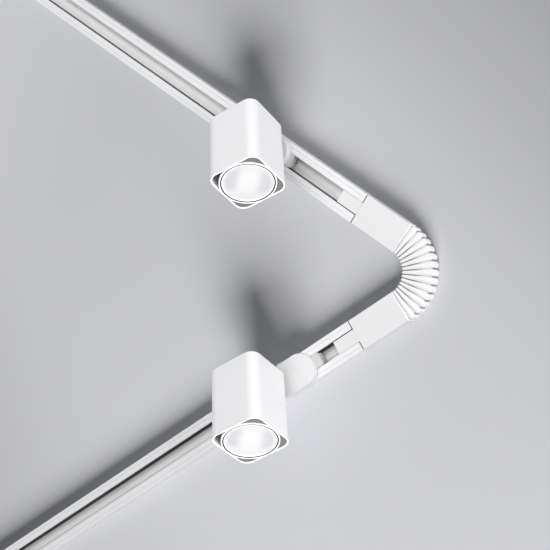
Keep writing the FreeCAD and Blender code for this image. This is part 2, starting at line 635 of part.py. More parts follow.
# ---- Spotlight head ------------------------------------------------------------------
ARM_CLEARANCE = 0.8
REAR_RECESS = 1.5
REAR_PLATE_THICKNESS = 3.0
REAR_SCREWS = ((-20.0, 2.0), (20.0, 2.0), (-20.0, 42.0), (20.0, 42.0))
REAR_SCREW_HEAD_R = 2.7
REAR_SCREW_SHANK_R = 1.5
REAR_SCREW_GRIP = 4.0      # length of shank below the rear plate
REAR_SCREW_CROSS = (3.2, 0.6, 0.8)      # length, width, depth
SOCKET_DEPTH = 5.0
SOCKET_R = 1.55
EAR_INNER = 5.7
EAR_THICKNESS = 3.5
PIN_CHAMFER = 0.3
REAR_PLATE_TOP_Z = HEAD_REAR_Z - REAR_RECESS
REAR_PLATE_LOW_Z = REAR_PLATE_TOP_Z - REAR_PLATE_THICKNESS


def arm_way():
    """Space the arm sweeps between aiming straight down and aiming level."""
    half = ARM_WIDTH / 2 + ARM_CLEARANCE
    reach = ARM_R + ARM_CLEARANCE
    return block((-half, half), (-HEAD_WIDTH, reach), (-reach, HEAD_WIDTH))


def head_tube():
    """Square tube open at the front, recessed for the bezel and slotted for the arm."""
    outer = rounded_square(HEAD_WIDTH, HEAD_CORNER_R, (HEAD_FRONT_Z, HEAD_REAR_Z), PIN_TO_AXIS)
    outer = outer.makeFillet(HEAD_REAR_EDGE_R, edges_at_height(outer, HEAD_REAR_Z))
    inner = rounded_square(HEAD_INNER_WIDTH, HEAD_CORNER_R - HEAD_WALL,
                           (HEAD_FRONT_Z - OVERRUN, HEAD_REAR_Z + OVERRUN), PIN_TO_AXIS)
    seat = disc(BEZEL_R + RUNNING_GAP, (HEAD_FRONT_Z - OVERRUN, SEAT_Z + RUNNING_GAP), 0, PIN_TO_AXIS)
    return outer.cut(inner).cut(seat).cut(arm_way())


def rear_plate():
    """Plate that closes the tube's rear, with two ears that carry the tilt pin."""
    plate = rounded_square(HEAD_INNER_WIDTH, HEAD_CORNER_R - HEAD_WALL, (REAR_PLATE_LOW_Z, REAR_PLATE_TOP_Z),
                           PIN_TO_AXIS)
    plate = plate.cut(arm_way())
    ears = []
    for side in (-1, 1):
        low, high = sorted((side * EAR_INNER, side * (EAR_INNER + EAR_THICKNESS)))
        ears.append(block((low, high), (-ARM_R, ARM_R), (0, REAR_PLATE_LOW_Z)))
        ears.append(cross_rod(ARM_R, (low, high)))
    drilled = [disc(REAR_SCREW_SHANK_R, (REAR_PLATE_LOW_Z - OVERRUN, REAR_PLATE_TOP_Z + OVERRUN), x, y)
               for x, y in REAR_SCREWS]
    reach = EAR_INNER + EAR_THICKNESS + OVERRUN
    return fuse([plate] + ears).cut(Part.makeCompound(drilled + [cross_rod(PIN_R, (-reach, reach))]))


def rear_screws():
    """Four pan-head screws that hold the rear plate to the driver box and the heat sink's posts."""
    length, width, depth = REAR_SCREW_CROSS
    floor = REAR_PLATE_TOP_Z + REAR_RECESS - depth
    screws = []
    for x, y in REAR_SCREWS:
        head = disc(REAR_SCREW_HEAD_R, (REAR_PLATE_TOP_Z, REAR_PLATE_TOP_Z + REAR_RECESS), x, y)
        shank = disc(REAR_SCREW_SHANK_R, (REAR_PLATE_LOW_Z - REAR_SCREW_GRIP, REAR_PLATE_TOP_Z), x, y)
        long, slim = length / 2, width / 2
        cross = fuse([block((x - long, x + long), (y - slim, y + slim), (floor, floor + depth + OVERRUN)),
                      block((x - slim, x + slim), (y - long, y + long), (floor, floor + depth + OVERRUN))])
        screws.append(fuse([head, shank]).cut(cross))
    return Part.makeCompound(screws)


def tilt_pin():
    """Hardened pin through the arm, held in the rear plate's ears."""
    reach = EAR_INNER + EAR_THICKNESS
    pin = cross_rod(PIN_R, (-reach, reach))
    return pin.makeChamfer(PIN_CHAMFER, [e for e in pin.Edges if e.BoundBox.XLength < 1e-6])


DRIVER_X = (-24.0, 24.0)
DRIVER_Y = (12.0, 48.0)
DRIVER_BOTTOM_Z = -26.0
DRIVER_EDGE_R = 1.5
SINK_SIDE_GAP = 0.1
SINK_TOP_Z = -30.0
SINK_BASE_Z = (-47.0, -42.0)
FIN_HALF_LENGTH = 22.0
FIN_HALF_THICKNESS = 0.9
FIN_PITCH = 6.0
FINS_EACH_SIDE = 4
POST_R = 3.2
BOARD_R = 19.0
BOARD_THICKNESS = 1.6
CHIP_R = 7.0
CHIP_THICKNESS = 1.2


def screw_sockets(screws):
    """Holes for the rear screws' shanks below the rear plate."""
    span = (REAR_PLATE_LOW_Z - SOCKET_DEPTH, REAR_PLATE_LOW_Z + OVERRUN)
    return Part.makeCompound([disc(SOCKET_R, span, x, y) for x, y in screws])


def driver():
    """Driver box behind the heat sink, clear of the arm's way."""
    box = block(DRIVER_X, DRIVER_Y, (DRIVER_BOTTOM_Z, REAR_PLATE_LOW_Z))
    box = box.makeFillet(DRIVER_EDGE_R, [e for e in box.Edges if e.BoundBox.ZLength > 1])
    return box.cut(screw_sockets([(x, y) for x, y in REAR_SCREWS if y > DRIVER_Y[0]]))


def heat_sink():
    """Cast plate across the tube with upright fins and posts up to the rear plate."""
    width = HEAD_INNER_WIDTH - 2 * SINK_SIDE_GAP
    base = rounded_square(width, HEAD_CORNER_R - HEAD_WALL, SINK_BASE_Z, PIN_TO_AXIS)
    fins = []
    for row in range(-FINS_EACH_SIDE, FINS_EACH_SIDE + 1):
        y = PIN_TO_AXIS + row * FIN_PITCH
        fins.append(block((-FIN_HALF_LENGTH, FIN_HALF_LENGTH), (y - FIN_HALF_THICKNESS, y + FIN_HALF_THICKNESS),
                          (SINK_BASE_Z[1], SINK_TOP_Z)))
    post_screws = [(x, y) for x, y in REAR_SCREWS if y < DRIVER_Y[0]]
    posts = [disc(POST_R, (SINK_BASE_Z[1], REAR_PLATE_LOW_Z), x, y) for x, y in post_screws]
    return fuse([base] + fins + posts).cut(screw_sockets(post_screws))


def led_board():
    """Round circuit board on the heat sink."""
    return disc(BOARD_R, (SINK_BASE_Z[0] - BOARD_THICKNESS, SINK_BASE_Z[0]), 0, PIN_TO_AXIS)


def led_chip():
    """Light source on the board."""
    top = SINK_BASE_Z[0] - BOARD_THICKNESS
    return disc(CHIP_R, (top - CHIP_THICKNESS, top), 0, PIN_TO_AXIS)


# ---- Front optics --------------------------------------------------------------------
CONE_REAR_R = 8.0
CONE_FRONT_R = 24.0
CONE_REAR_GAP = 0.2        # between the light source and the reflector
CONE_WALL = 1.3
CONE_RIM_R = 28.2
CONE_RIM_THICKNESS = 1.2
BEZEL_SOFT = 0.3           # broken edges of the bezel
RING_SOFT = 0.25
RING_SETBACK = 0.1         # lens ring's front behind the tube's front edge


def revolve_section(points):
    """Body of revolution about the head's centre line from a closed list of (radius, z) points."""
    corners = [Vector(radius, PIN_TO_AXIS, z) for radius, z in points]
    face = Part.Face(Part.makePolygon(corners + corners[:1]))
    return face.revolve(Vector(0, PIN_TO_AXIS, 0), Z_AXIS, 360)


def reflector():
    """Conical reflector from the light source to the lens seat."""
    rear = SINK_BASE_Z[0] - BOARD_THICKNESS - CHIP_THICKNESS - CONE_REAR_GAP
    rim_top = SEAT_Z + CONE_RIM_THICKNESS
    profile = [(CONE_REAR_R, rear), (CONE_FRONT_R, SEAT_Z), (CONE_RIM_R, SEAT_Z), (CONE_RIM_R, rim_top),
               (CONE_FRONT_R + CONE_WALL, rim_top), (CONE_REAR_R + CONE_WALL, rear)]
    return revolve_section(profile)


def bezel():
    """Round front ring, sunk in the tube's front edge, with the seat for the lens."""
    front = HEAD_FRONT_Z - BEZEL_PROUD
    soft = BEZEL_SOFT
    profile = [(BEZEL_INNER_R, front + soft), (BEZEL_INNER_R + soft, front), (BEZEL_R - soft, front),
               (BEZEL_R, front + soft), (BEZEL_R, SEAT_Z), (LENS_SEAT_R, SEAT_Z),
               (LENS_SEAT_R, SEAT_Z - BEZEL_FLOOR), (BEZEL_INNER_R, SEAT_Z - BEZEL_FLOOR)]
    return revolve_section(profile)


def lens_ring():
    """Slim ring that holds the lens, a groove's width inside the bezel."""
    base = SEAT_Z - BEZEL_FLOOR
    front = HEAD_FRONT_Z + RING_SETBACK
    soft = RING_SOFT
    profile = [(LENS_R, base), (LENS_RING_R, base), (LENS_RING_R, front + soft), (LENS_RING_R - soft, front),
               (LENS_R + soft, front), (LENS_R, front + soft)]
    return revolve_section(profile)


def lens():
    """Frosted front lens with a slightly domed face."""
    base = SEAT_Z - BEZEL_FLOOR
    face = base - LENS_EDGE - LENS_DOME
    dome_r = (LENS_R ** 2 + LENS_DOME ** 2) / (2 * LENS_DOME)
    ball = Part.makeSphere(dome_r, Vector(0, PIN_TO_AXIS, face + dome_r))
    return disc(LENS_R, (face - OVERRUN, base), 0, PIN_TO_AXIS).common(ball)


# ---- Assembly ------------------------------------------------------------------------
def build_rails():
    """Both rails with their liners and copper, and the pieces that close their far ends."""
    for rail in (1, 2):
        frame = rail_placement(rail)
        save("rail_%d_profile" % rail, placed(rail_profile(), frame))
        save("rail_%d_insulators" % rail, placed(rail_insulators(), frame))
        save("rail_%d_conductors" % rail, placed(rail_conductors(), frame))
    save("live_end_housing", placed(live_end_housing(), rail_placement(1)))
    save("live_end_terminals", placed(live_end_terminals(), rail_placement(1)))
    save("end_cap", placed(end_cap(), rail_placement(2)))


def build_corner():
    """The two corner housings and what joins them."""
    for rail, inside in ((1, -1), (2, 1)):
        frame = rail_placement(rail)
        save("connector_%d_base" % rail, placed(connector_base(), frame))
        save("connector_%d_cover" % rail, placed(connector_cover(inside), frame))
        save("connector_%d_contacts" % rail, placed(connector_contacts(), frame))
    save("flex_bellows", placed(flex_bellows(), rail_placement(1)))
    save("flex_wires", placed(flex_wires(), rail_placement(1)))


ADAPTER_PIECES = {
    "adapter_housing": adapter_housing, "adapter_core": adapter_core, "adapter_screws": adapter_screws,
    "earth_contact": earth_contact, "lock_rotor": lock_rotor, "lock_contacts": lock_contacts,
}
PAN_PIECES = {"pan_stem": pan_stem, "pan_nut": pan_nut, "tilt_arm": tilt_arm}
HEAD_PIECES = {
    "tilt_pin": tilt_pin, "tube": head_tube, "rear_plate": rear_plate, "rear_screws": rear_screws,
    "driver": driver, "heat_sink": heat_sink, "led_board": led_board, "led_chip": led_chip,
    "reflector": reflector, "bezel": bezel, "lens_ring": lens_ring, "lens": lens,
}


def build_spots():
    """Both spotlights, each on its own adapter."""
    for spot in SPOTS:
        groups = (
            (ADAPTER_PIECES, adapter_placement(spot)),
            (PAN_PIECES, pan_placement(spot)),
            (HEAD_PIECES, head_placement(spot)),
        )
        for pieces, frame in groups:
            for name, make in pieces.items():
                save("spot_%d_%s" % (spot, name), placed(make(), frame))


def main():
    os.makedirs("parts", exist_ok=True)
    build_rails()
    build_corner()
    build_spots()


main()
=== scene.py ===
"""Looks of two square track spotlights on surface rails that a flexible pleated corner joins.

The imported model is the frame: every piece is built where that model has it, in the same axes.
Sizes inside the classes are millimetres in a piece's own frame, and a Place turns them into metres.
The ceiling is the plane Z = 0, and the fixture hangs below it.
"""

import json
import logging
import math
from collections.abc import Sequence
from dataclasses import dataclass, field
from enum import Enum
from typing import Any

import bmesh
import bpy
from mathutils import Matrix, Vector

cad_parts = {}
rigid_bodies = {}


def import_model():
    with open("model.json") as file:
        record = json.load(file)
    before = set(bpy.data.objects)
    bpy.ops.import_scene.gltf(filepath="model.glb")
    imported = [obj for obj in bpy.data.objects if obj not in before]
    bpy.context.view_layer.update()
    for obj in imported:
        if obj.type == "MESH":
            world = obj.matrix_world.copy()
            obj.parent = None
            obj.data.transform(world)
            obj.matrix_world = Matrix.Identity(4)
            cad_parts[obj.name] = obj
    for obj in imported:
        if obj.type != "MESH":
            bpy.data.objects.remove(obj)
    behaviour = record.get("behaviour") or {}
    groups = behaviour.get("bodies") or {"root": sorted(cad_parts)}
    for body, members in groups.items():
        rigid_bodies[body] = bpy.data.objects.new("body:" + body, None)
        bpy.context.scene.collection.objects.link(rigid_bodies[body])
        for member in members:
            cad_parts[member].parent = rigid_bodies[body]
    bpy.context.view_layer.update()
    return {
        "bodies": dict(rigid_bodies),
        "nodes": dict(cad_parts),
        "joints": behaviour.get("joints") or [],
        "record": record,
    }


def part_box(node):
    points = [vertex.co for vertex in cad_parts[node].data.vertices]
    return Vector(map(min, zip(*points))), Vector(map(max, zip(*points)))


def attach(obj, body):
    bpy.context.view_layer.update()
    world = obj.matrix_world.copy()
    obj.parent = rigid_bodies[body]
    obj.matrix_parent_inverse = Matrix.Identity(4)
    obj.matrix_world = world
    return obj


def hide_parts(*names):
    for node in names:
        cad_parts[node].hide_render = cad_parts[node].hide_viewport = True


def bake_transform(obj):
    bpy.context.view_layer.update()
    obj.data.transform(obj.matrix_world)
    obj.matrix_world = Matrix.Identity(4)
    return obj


LOG = logging.getLogger("track_spotlights")
MM = 0.001
SHARP_ANGLE = 35.0
FLAT_ANGLE = 0.5
AXIS_R = 0.001
Colour = tuple[float, float, float]
Direction = tuple[float, float, float]
Point2 = tuple[float, float]


class Axis(Enum):
    """Direction in which a section is extruded."""

    ALONG = "x"
    UPRIGHT = "z"


class Side(Enum):
    """Which way an adapter's long end points along its rail."""

    AWAY = 0.0
    TO_CORNER = 180.0


# ---- Node trees ----------------------------------------------------------------------
class Term:
    """One socket of a node tree that takes part in Python expressions."""

    def __init__(self, graph: "Graph", socket: bpy.types.NodeSocket) -> None:
        """Wraps a socket of a graph."""
        self.graph = graph
        self.socket = socket

    def math(self, operation: str, *others: "Term | float") -> "Term":
        """Adds a Math node fed by this socket.

        Args:
            operation: The Math node's operation.
            others: Further terms or plain numbers.
        Returns:
            The node's result.
        """
        values = dict(enumerate((self, *others)))
        return self.graph.node("ShaderNodeMath", {"operation": operation}, values).out(0)

    def flipped(self, operation: str, other: float) -> "Term":
        """Adds a Math node in which a plain number comes first."""
        return self.graph.node("ShaderNodeMath", {"operation": operation}, {0: other, 1: self}).out(0)

    def __add__(self, other: "Term | float") -> "Term":
        """Sum."""
        return self.math("ADD", other)

    __radd__ = __add__

    def __sub__(self, other: "Term | float") -> "Term":
        """Difference."""
        return self.math("SUBTRACT", other)

    def __rsub__(self, other: float) -> "Term":
        """Difference from a plain number."""
        return self.flipped("SUBTRACT", other)

    def __mul__(self, other: "Term | float") -> "Term":
        """Product."""
        return self.math("MULTIPLY", other)

    __rmul__ = __mul__

    def __truediv__(self, other: "Term | float") -> "Term":
        """Quotient."""
        return self.math("DIVIDE", other)

    def __rtruediv__(self, other: float) -> "Term":
        """A plain number divided by this term."""
        return self.flipped("DIVIDE", other)

    def __pow__(self, other: "Term | float") -> "Term":
        """Power."""
        return self.math("POWER", other)

    def sin(self) -> "Term":
        """Sine of an angle in radians."""
        return self.math("SINE")

    def cos(self) -> "Term":
        """Cosine of an angle in radians."""
        return self.math("COSINE")

    def size(self) -> "Term":
        """Absolute value."""
        return self.math("ABSOLUTE")

    def held(self, low: "Term | float", high: "Term | float") -> "Term":
        """The term kept between two limits."""
        return self.math("MAXIMUM", low).math("MINIMUM", high)

    def ramp(self, low: float, high: float) -> "Term":
        """0 below low, 1 above high and a smooth rise between them."""
        settings = {"interpolation_type": "SMOOTHSTEP"}
        return self.graph.node("ShaderNodeMapRange", settings, {"Value": self, 1: low, 2: high}).out(0)


class Made:
    """A node just added to a graph."""

    def __init__(self, graph: "Graph", node: bpy.types.Node) -> None:
        """Keeps the node with its graph."""
        self.graph = graph
        self.node = node

    def out(self, key: int | str) -> Term:
        """One of the node's outputs, by index or name."""
        return Term(self.graph, self.node.outputs[key])


class Graph:
    """A shader or geometry node tree under construction."""

    def __init__(self, tree: bpy.types.NodeTree) -> None:
        """Starts on an empty tree."""
        self.tree = tree

    def node(self, kind: str, settings: dict[str, Any] | None = None,
             inputs: dict[int | str, Any] | None = None) -> Made:
        """Adds any node.

        Args:
            kind: The node's type name.
            settings: Node properties.
            inputs: Values or terms for its sockets, by index or name.
        Returns:
            The new node.
        """
        node = self.tree.nodes.new(kind)
        for key, value in (settings or {}).items():
            setattr(node, key, value)
        for key, value in (inputs or {}).items():
            socket = node.inputs[key]
            if isinstance(value, Term):
                self.tree.links.new(value.socket, socket)
            else:
                socket.default_value = value
        return Made(self, node)

    def mix(self, share: Term, first: "Colour | Term", second: "Colour | Term") -> Term:
        """Blend of two colours.

        Args:
            share: 0 gives the first colour, 1 the second.
            first: A colour or a term.
            second: A colour or a term.
        Returns:
            The mixed colour.
        """
        pair = [c if isinstance(c, Term) else (*c, 1) for c in (first, second)]
        inputs = {0: share, 6: pair[0], 7: pair[1]}
        return self.node("ShaderNodeMix", {"data_type": "RGBA"}, inputs).out(2)

    def noise(self, where: Term, cell: float, detail: float = 2.0) -> Term:
        """Noise with cells of about the given size in millimetres."""
        inputs = {"Vector": where, "Scale": 1 / (cell * MM), "Detail": detail, "Roughness": 0.5}
        return self.node("ShaderNodeTexNoise", {}, inputs).out(0)

    def combine(self, x: Any, y: Any, z: Any) -> Term:
        """Vector from three numbers or terms."""
        return self.node("ShaderNodeCombineXYZ", {}, {0: x, 1: y, 2: z}).out(0)

    def split(self, vector: Term) -> tuple[Term, Term, Term]:
        """The three parts of a vector."""
        made = self.node("ShaderNodeSeparateXYZ", {}, {0: vector})
        return made.out(0), made.out(1), made.out(2)


# ---- Finishes ------------------------------------------------------------------------
DRIFT_RAMP = (0.3, 0.7)
GRAIN_DETAIL = 3.0
GRAIN_STRENGTH = 0.35
GLOSS_CELLS = 6
COAT_SHARE = 0.6


@dataclass(frozen=True)
class Finish:
    """A surface finish: a base colour with slow drift, uneven gloss and a fine grain."""

    name: str
    colour: Colour
    roughness: float = 0.5
    metallic: float = 0.0
    coat: float = 0.0
    drift: float = 0.02
    drift_cell: float = 60.0
    gloss_spread: float = 0.06
    grain_cell: float = 0.8
    grain_height: float = 0.01
    specular: float = 0.5

    def material(self) -> bpy.types.Material:
        """Builds the material.

        Returns:
            The new material.
        """
        made = bpy.data.materials.new(self.name)
        made.use_nodes = True
        graph = Graph(made.node_tree)
        shader = made.node_tree.nodes["Principled BSDF"]
        shader.inputs["Metallic"].default_value = self.metallic
        shader.inputs["Coat Weight"].default_value = self.coat
        shader.inputs["Coat Roughness"].default_value = self.roughness * COAT_SHARE
        shader.inputs["Specular IOR Level"].default_value = self.specular
        where = graph.node("ShaderNodeTexCoord").out("Object")
        self.dress(graph, shader, where)
        return made

    def feed(self, graph: Graph, shader: bpy.types.Node, socket: str, value: Term) -> None:
        """Links a term to one of the shader's sockets."""
        graph.tree.links.new(value.socket, shader.inputs[socket])

    def base(self, graph: Graph, where: Term) -> Term:
        """Base colour with its slow drift.

        Args:
            graph: The material's node tree.
            where: Object coordinates.
        Returns:
            The colour.
        """
        share = graph.noise(where, self.drift_cell).ramp(*DRIFT_RAMP)
        darker = tuple(c * (1 - self.drift) for c in self.colour)
        return graph.mix(share, darker, self.colour)

    def relief(self, graph: Graph, where: Term) -> Term:
        """Height of the fine grain, from 0 to 1."""
        return graph.noise(where, self.grain_cell, GRAIN_DETAIL)

    def dress(self, graph: Graph, shader: bpy.types.Node, where: Term) -> None:
        """Feeds colour, gloss and grain to the shader.

        Args:
            graph: The material's node tree.
            shader: Its principled shader.
            where: Object coordinates.
        """
        self.feed(graph, shader, "Base Color", self.base(graph, where))
        gloss = graph.noise(where, self.grain_cell * GLOSS_CELLS)
        glossiest = self.roughness - self.gloss_spread / 2
        self.feed(graph, shader, "Roughness", gloss * self.gloss_spread + glossiest)
        relief = self.relief(graph, where)
        inputs = {"Strength": GRAIN_STRENGTH, "Distance": self.grain_height * MM, "Height": relief}
        bump = graph.node("ShaderNodeBump", {}, inputs)
        self.feed(graph, shader, "Normal", bump.out(0))


@dataclass(frozen=True)
class DrawnMetal(Finish):
    """Metal with fine lines drawn out along X."""

    metallic: float = 1.0
    line_cell: float = 0.25
    line_stretch: float = 40.0

    def relief(self, graph: Graph, where: Term) -> Term:
        """Fine lines drawn out along X."""
        x, y, z = graph.split(where)
        return graph.noise(graph.combine(x / self.line_stretch, y, z), self.line_cell, 2.0)


@dataclass(frozen=True)
class PleatedRubber(Finish):
    """Soft elastomer with painted shade down in the pleats."""

    tight_valley_shade: Colour = (0.13, 0.13, 0.13)
    open_valley_shade: Colour = (0.66, 0.66, 0.67)
    opening: Point2 = (0.30, 0.75)
    outer_side: Point2 = (0.88, 0.96)
    valley_rise: Point2 = (0.08, 0.52)

    def base(self, graph: Graph, where: Term) -> Term:
        """Base colour with painted shade in the valleys: darkest on the bend's inner side and at the pleats'
        outer ends, lighter grey where the valleys open.

        Args:
            graph: The material's node tree.
            where: Object coordinates.
        Returns:
            The colour.
        """
        ridge = graph.node("ShaderNodeAttribute", {"attribute_name": "ridge"}).out("Fac")
        outer = graph.node("ShaderNodeAttribute", {"attribute_name": "outer"}).out("Fac")
        # Painted shade: the valleys' grey opens up from the bend's inner side and darkens again at the outer
        # ends.
        opened = outer.ramp(*self.opening) * (1 - outer.ramp(*self.outer_side))
        valley = graph.mix(opened, self.tight_valley_shade, self.open_valley_shade)
        return graph.mix(ridge.ramp(*self.valley_rise), valley, super().base(graph, where))


@dataclass(frozen=True)
class LitLens(Finish):
    """Frosted lens with a painted glow: weak emission, brightest in the middle, with two lobes of painted
    shade across it, faint rings and painted shade towards the rim.
    """

    centre: Vector = field(default_factory=Vector)
    across: Vector = field(default_factory=Vector)
    upward: Vector = field(default_factory=Vector)
    radius: float = 26.2
    lobe_shade: Colour = (0.72, 0.72, 0.77)
    glow: Colour = (1.0, 1.0, 1.0)
    strength: float = 0.63
    lobe_across: Point2 = (0.22, 0.62)
    lobe_upward: Point2 = (0.35, 0.8)
    lobe_lift: float = 0.12
    lobe_end: Point2 = (0.82, 0.97)
    ring_rate: float = 62.0
    ring_start: Point2 = (0.45, 0.7)
    ring_depth: float = 0.03
    rim_start: Point2 = (0.3, 1.0)
    rim_shade: float = 0.1

    def dress(self, graph: Graph, shader: bpy.types.Node, where: Term) -> None:
        """Adds the painted glow and its pattern of painted shade to the plain finish.

        Args:
            graph: The material's node tree.
            shader: Its principled shader.
            where: Object coordinates.
        """
        super().dress(graph, shader, where)
        inputs = {0: where, 1: self.centre}
        offset = graph.node("ShaderNodeVectorMath", {"operation": "SUBTRACT"}, inputs).out(0)

        def along(direction: Vector) -> Term:
            """Distance from the middle along a direction, as a share of the lens radius."""
            dot = graph.node("ShaderNodeVectorMath", {"operation": "DOT_PRODUCT"}, {0: offset, 1: direction})
            return dot.out("Value") / (self.radius * MM)

        x, y = along(self.across), along(self.upward)
        reach = (x * x + y * y) ** 0.5
        # Painted shade: two greyer lobes across the lens, fading out towards its rim.
        lobes = x.size().ramp(*self.lobe_across) * (1 - (y - self.lobe_lift).size().ramp(*self.lobe_upward))
        lobes = lobes * (1 - reach.ramp(*self.lobe_end))
        rings = (reach * self.ring_rate).sin() * reach.ramp(*self.ring_start) * self.ring_depth
        colour = graph.mix(lobes.held(0.0, 1.0), self.glow, self.lobe_shade)
        # Painted shade: the glow dims towards the rim.
        shade = 1 - (rings.size() + reach.ramp(*self.rim_start) * self.rim_shade)
        lit = graph.node("ShaderNodeVectorMath", {"operation": "SCALE"}, {0: colour, "Scale": shade}).out(0)
        self.feed(graph, shader, "Emission Color", lit)
        shader.inputs["Emission Strength"].default_value = self.strength


@dataclass(frozen=True)
class Phosphor(Finish):
    """Yellow phosphor over the light source, with faint dots of the chips under it."""

    chip_colour: Colour = (0.98, 0.86, 0.35)
    chip_scale: float = 700.0
    chip_scatter: float = 0.15
    chip_edge: Point2 = (0.1, 0.4)

    def base(self, graph: Graph, where: Term) -> Term:
        """Base colour with a pattern of chips.

        Args:
            graph: The material's node tree.
            where: Object coordinates.
        Returns:
            The colour.
        """
        inputs = {"Vector": where, "Scale": self.chip_scale, "Randomness": self.chip_scatter}
        cells = graph.node("ShaderNodeTexVoronoi", {}, inputs)
        return graph.mix(cells.out("Distance").ramp(*self.chip_edge), self.chip_colour, self.colour)


FINISHES = (
    Finish("rail_white", (0.79, 0.79, 0.79), roughness=0.38, grain_cell=0.9, grain_height=0.012),
    Finish("head_white", (0.87, 0.87, 0.87), roughness=0.42, grain_cell=0.7, grain_height=0.014),
    Finish("bezel_white", (0.88, 0.88, 0.88), roughness=0.34, grain_cell=0.7, grain_height=0.008),
    Finish("moulded_white", (0.73, 0.73, 0.73), roughness=0.40, grain_cell=0.5, grain_height=0.010),
    PleatedRubber("bellows_white", (0.84, 0.84, 0.84), roughness=0.52, grain_cell=0.6, grain_height=0.012),
    # Grey finish for painted shade: the adapter core lies deep in the slot's shade.
    Finish("core_shade_grey", (0.58, 0.58, 0.58), roughness=0.5, grain_cell=0.5),
    # Dark grey finish for painted shade behind the head's corner gaps.
    Finish("gap_shade_grey", (0.135, 0.135, 0.135), roughness=0.6, grain_cell=0.5),
    Finish("liner_grey", (0.72, 0.72, 0.71), roughness=0.55, grain_cell=0.6),
    DrawnMetal("copper", (0.80, 0.46, 0.29), roughness=0.32, drift=0.18, drift_cell=22.0, gloss_spread=0.16),
    DrawnMetal("zinc_steel", (0.70, 0.71, 0.72), roughness=0.34, drift=0.10, drift_cell=8.0,
               gloss_spread=0.14),
    Finish("tinned_strip", (0.87, 0.875, 0.88), roughness=0.6, drift=0.04),
    # Dark finish for painted shade under the rails' lips.
    Finish("under_lip_shade", (0.10, 0.10, 0.10), roughness=0.6, drift=0.1),
    # Near-black finish for painted shade: strips and a ring put where gaps and grooves lie in shadow.
    Finish("shade_fill", (0.015, 0.015, 0.015), roughness=0.8, drift=0.2, specular=0.1),
    Finish("terminal_black", (0.04, 0.04, 0.042), roughness=0.45, drift=0.2),
    Finish("wire_sleeve", (0.30, 0.16, 0.07), roughness=0.4, drift=0.08, drift_cell=12.0),
    Finish("driver_grey", (0.20, 0.205, 0.21), roughness=0.5, drift=0.08, grain_cell=0.4, grain_height=0.03),
    Finish("cast_aluminium", (0.62, 0.63, 0.64), roughness=0.48, metallic=1.0, drift=0.1, drift_cell=15.0,
           gloss_spread=0.15, grain_cell=0.5, grain_height=0.04),
    Finish("circuit_board", (0.80, 0.82, 0.80), roughness=0.35, coat=0.3, drift=0.05, drift_cell=5.0),
    Phosphor("led_yellow", (0.90, 0.70, 0.14), roughness=0.3, coat=0.4),
    DrawnMetal("reflector_bright", (0.90, 0.90, 0.91), roughness=0.12, drift=0.03, gloss_spread=0.05),
)


# ---- Outlines and solids -------------------------------------------------------------
def rounded(corners: Sequence[tuple[float, float, float]], steps: int = 4) -> list[Point2]:
    """Closed outline whose corners are rounded.

    Args:
        corners: (a, b, radius) of each corner in order.
        steps: Straight pieces in each rounded corner.
    Returns:
        The outline's points.
    """
    points: list[Point2] = []
    count = len(corners)
    for index, (a, b, radius) in enumerate(corners):
        here = Vector((a, b))
        if radius <= 0:
            points.append((a, b))
            continue
        to_last = (Vector(corners[index - 1][:2]) - here).normalized()
        to_next = (Vector(corners[(index + 1) % count][:2]) - here).normalized()
        half = to_last.angle(to_next) / 2
        middle = here + (to_last + to_next).normalized() * (radius / math.sin(half))
        first = here + to_last * (radius / math.tan(half))
        start = first - middle
        sweep = -start.angle_signed(here + to_next * (radius / math.tan(half)) - middle)
        for step in range(steps + 1):
            turned = Matrix.Rotation(sweep * step / steps, 2) @ start
            points.append((middle.x + turned.x, middle.y + turned.y))
    return points


def stadium(x_low: float, x_high: float, radius: float, steps: int = 28) -> list[Point2]:
    """Flat bar with full-round ends, seen from above, anticlockwise.

    Args:
        x_low: Its lower end.
        x_high: Its upper end.
        radius: Half of its width.
        steps: Straight pieces in each end.
    Returns:
        The outline's points.
    """
    points = []
    for centre, start in ((x_high - radius, -90), (x_low + radius, 90)):
        for step in range(steps + 1):
            turn = math.radians(start + 180 * step / steps)
            points.append((centre + radius * math.cos(turn), radius * math.sin(turn)))
    return points


@dataclass(frozen=True)
class Place:
    """A local frame: millimetres in it become metres in the row frame."""

    matrix: Matrix

    @staticmethod
    def at(origin: Vector, turn: float = 0.0, raised: float = 0.0) -> "Place":
        """Frame at a point, turned about Z and then raised about its own X.

        Args:
            origin: The frame's origin in metres.
            turn: Angle about Z in degrees.
            raised: Angle about the turned X in degrees.
        Returns:
            The frame.
        """
        spin = Matrix.Rotation(math.radians(turn), 4, "Z") @ Matrix.Rotation(math.radians(-raised), 4, "X")
        return Place(Matrix.Translation(origin) @ spin)

    def full(self) -> Matrix:
        """Matrix from local millimetres to metres."""
        return self.matrix @ Matrix.Scale(MM, 4)

    def point(self, x: float, y: float, z: float) -> Vector:
        """A local point in metres."""
        return self.full() @ Vector((x, y, z))

    def direction(self, x: float, y: float, z: float) -> Vector:
        """A local direction in the row frame."""
        return (self.matrix.to_3x3() @ Vector((x, y, z))).normalized()


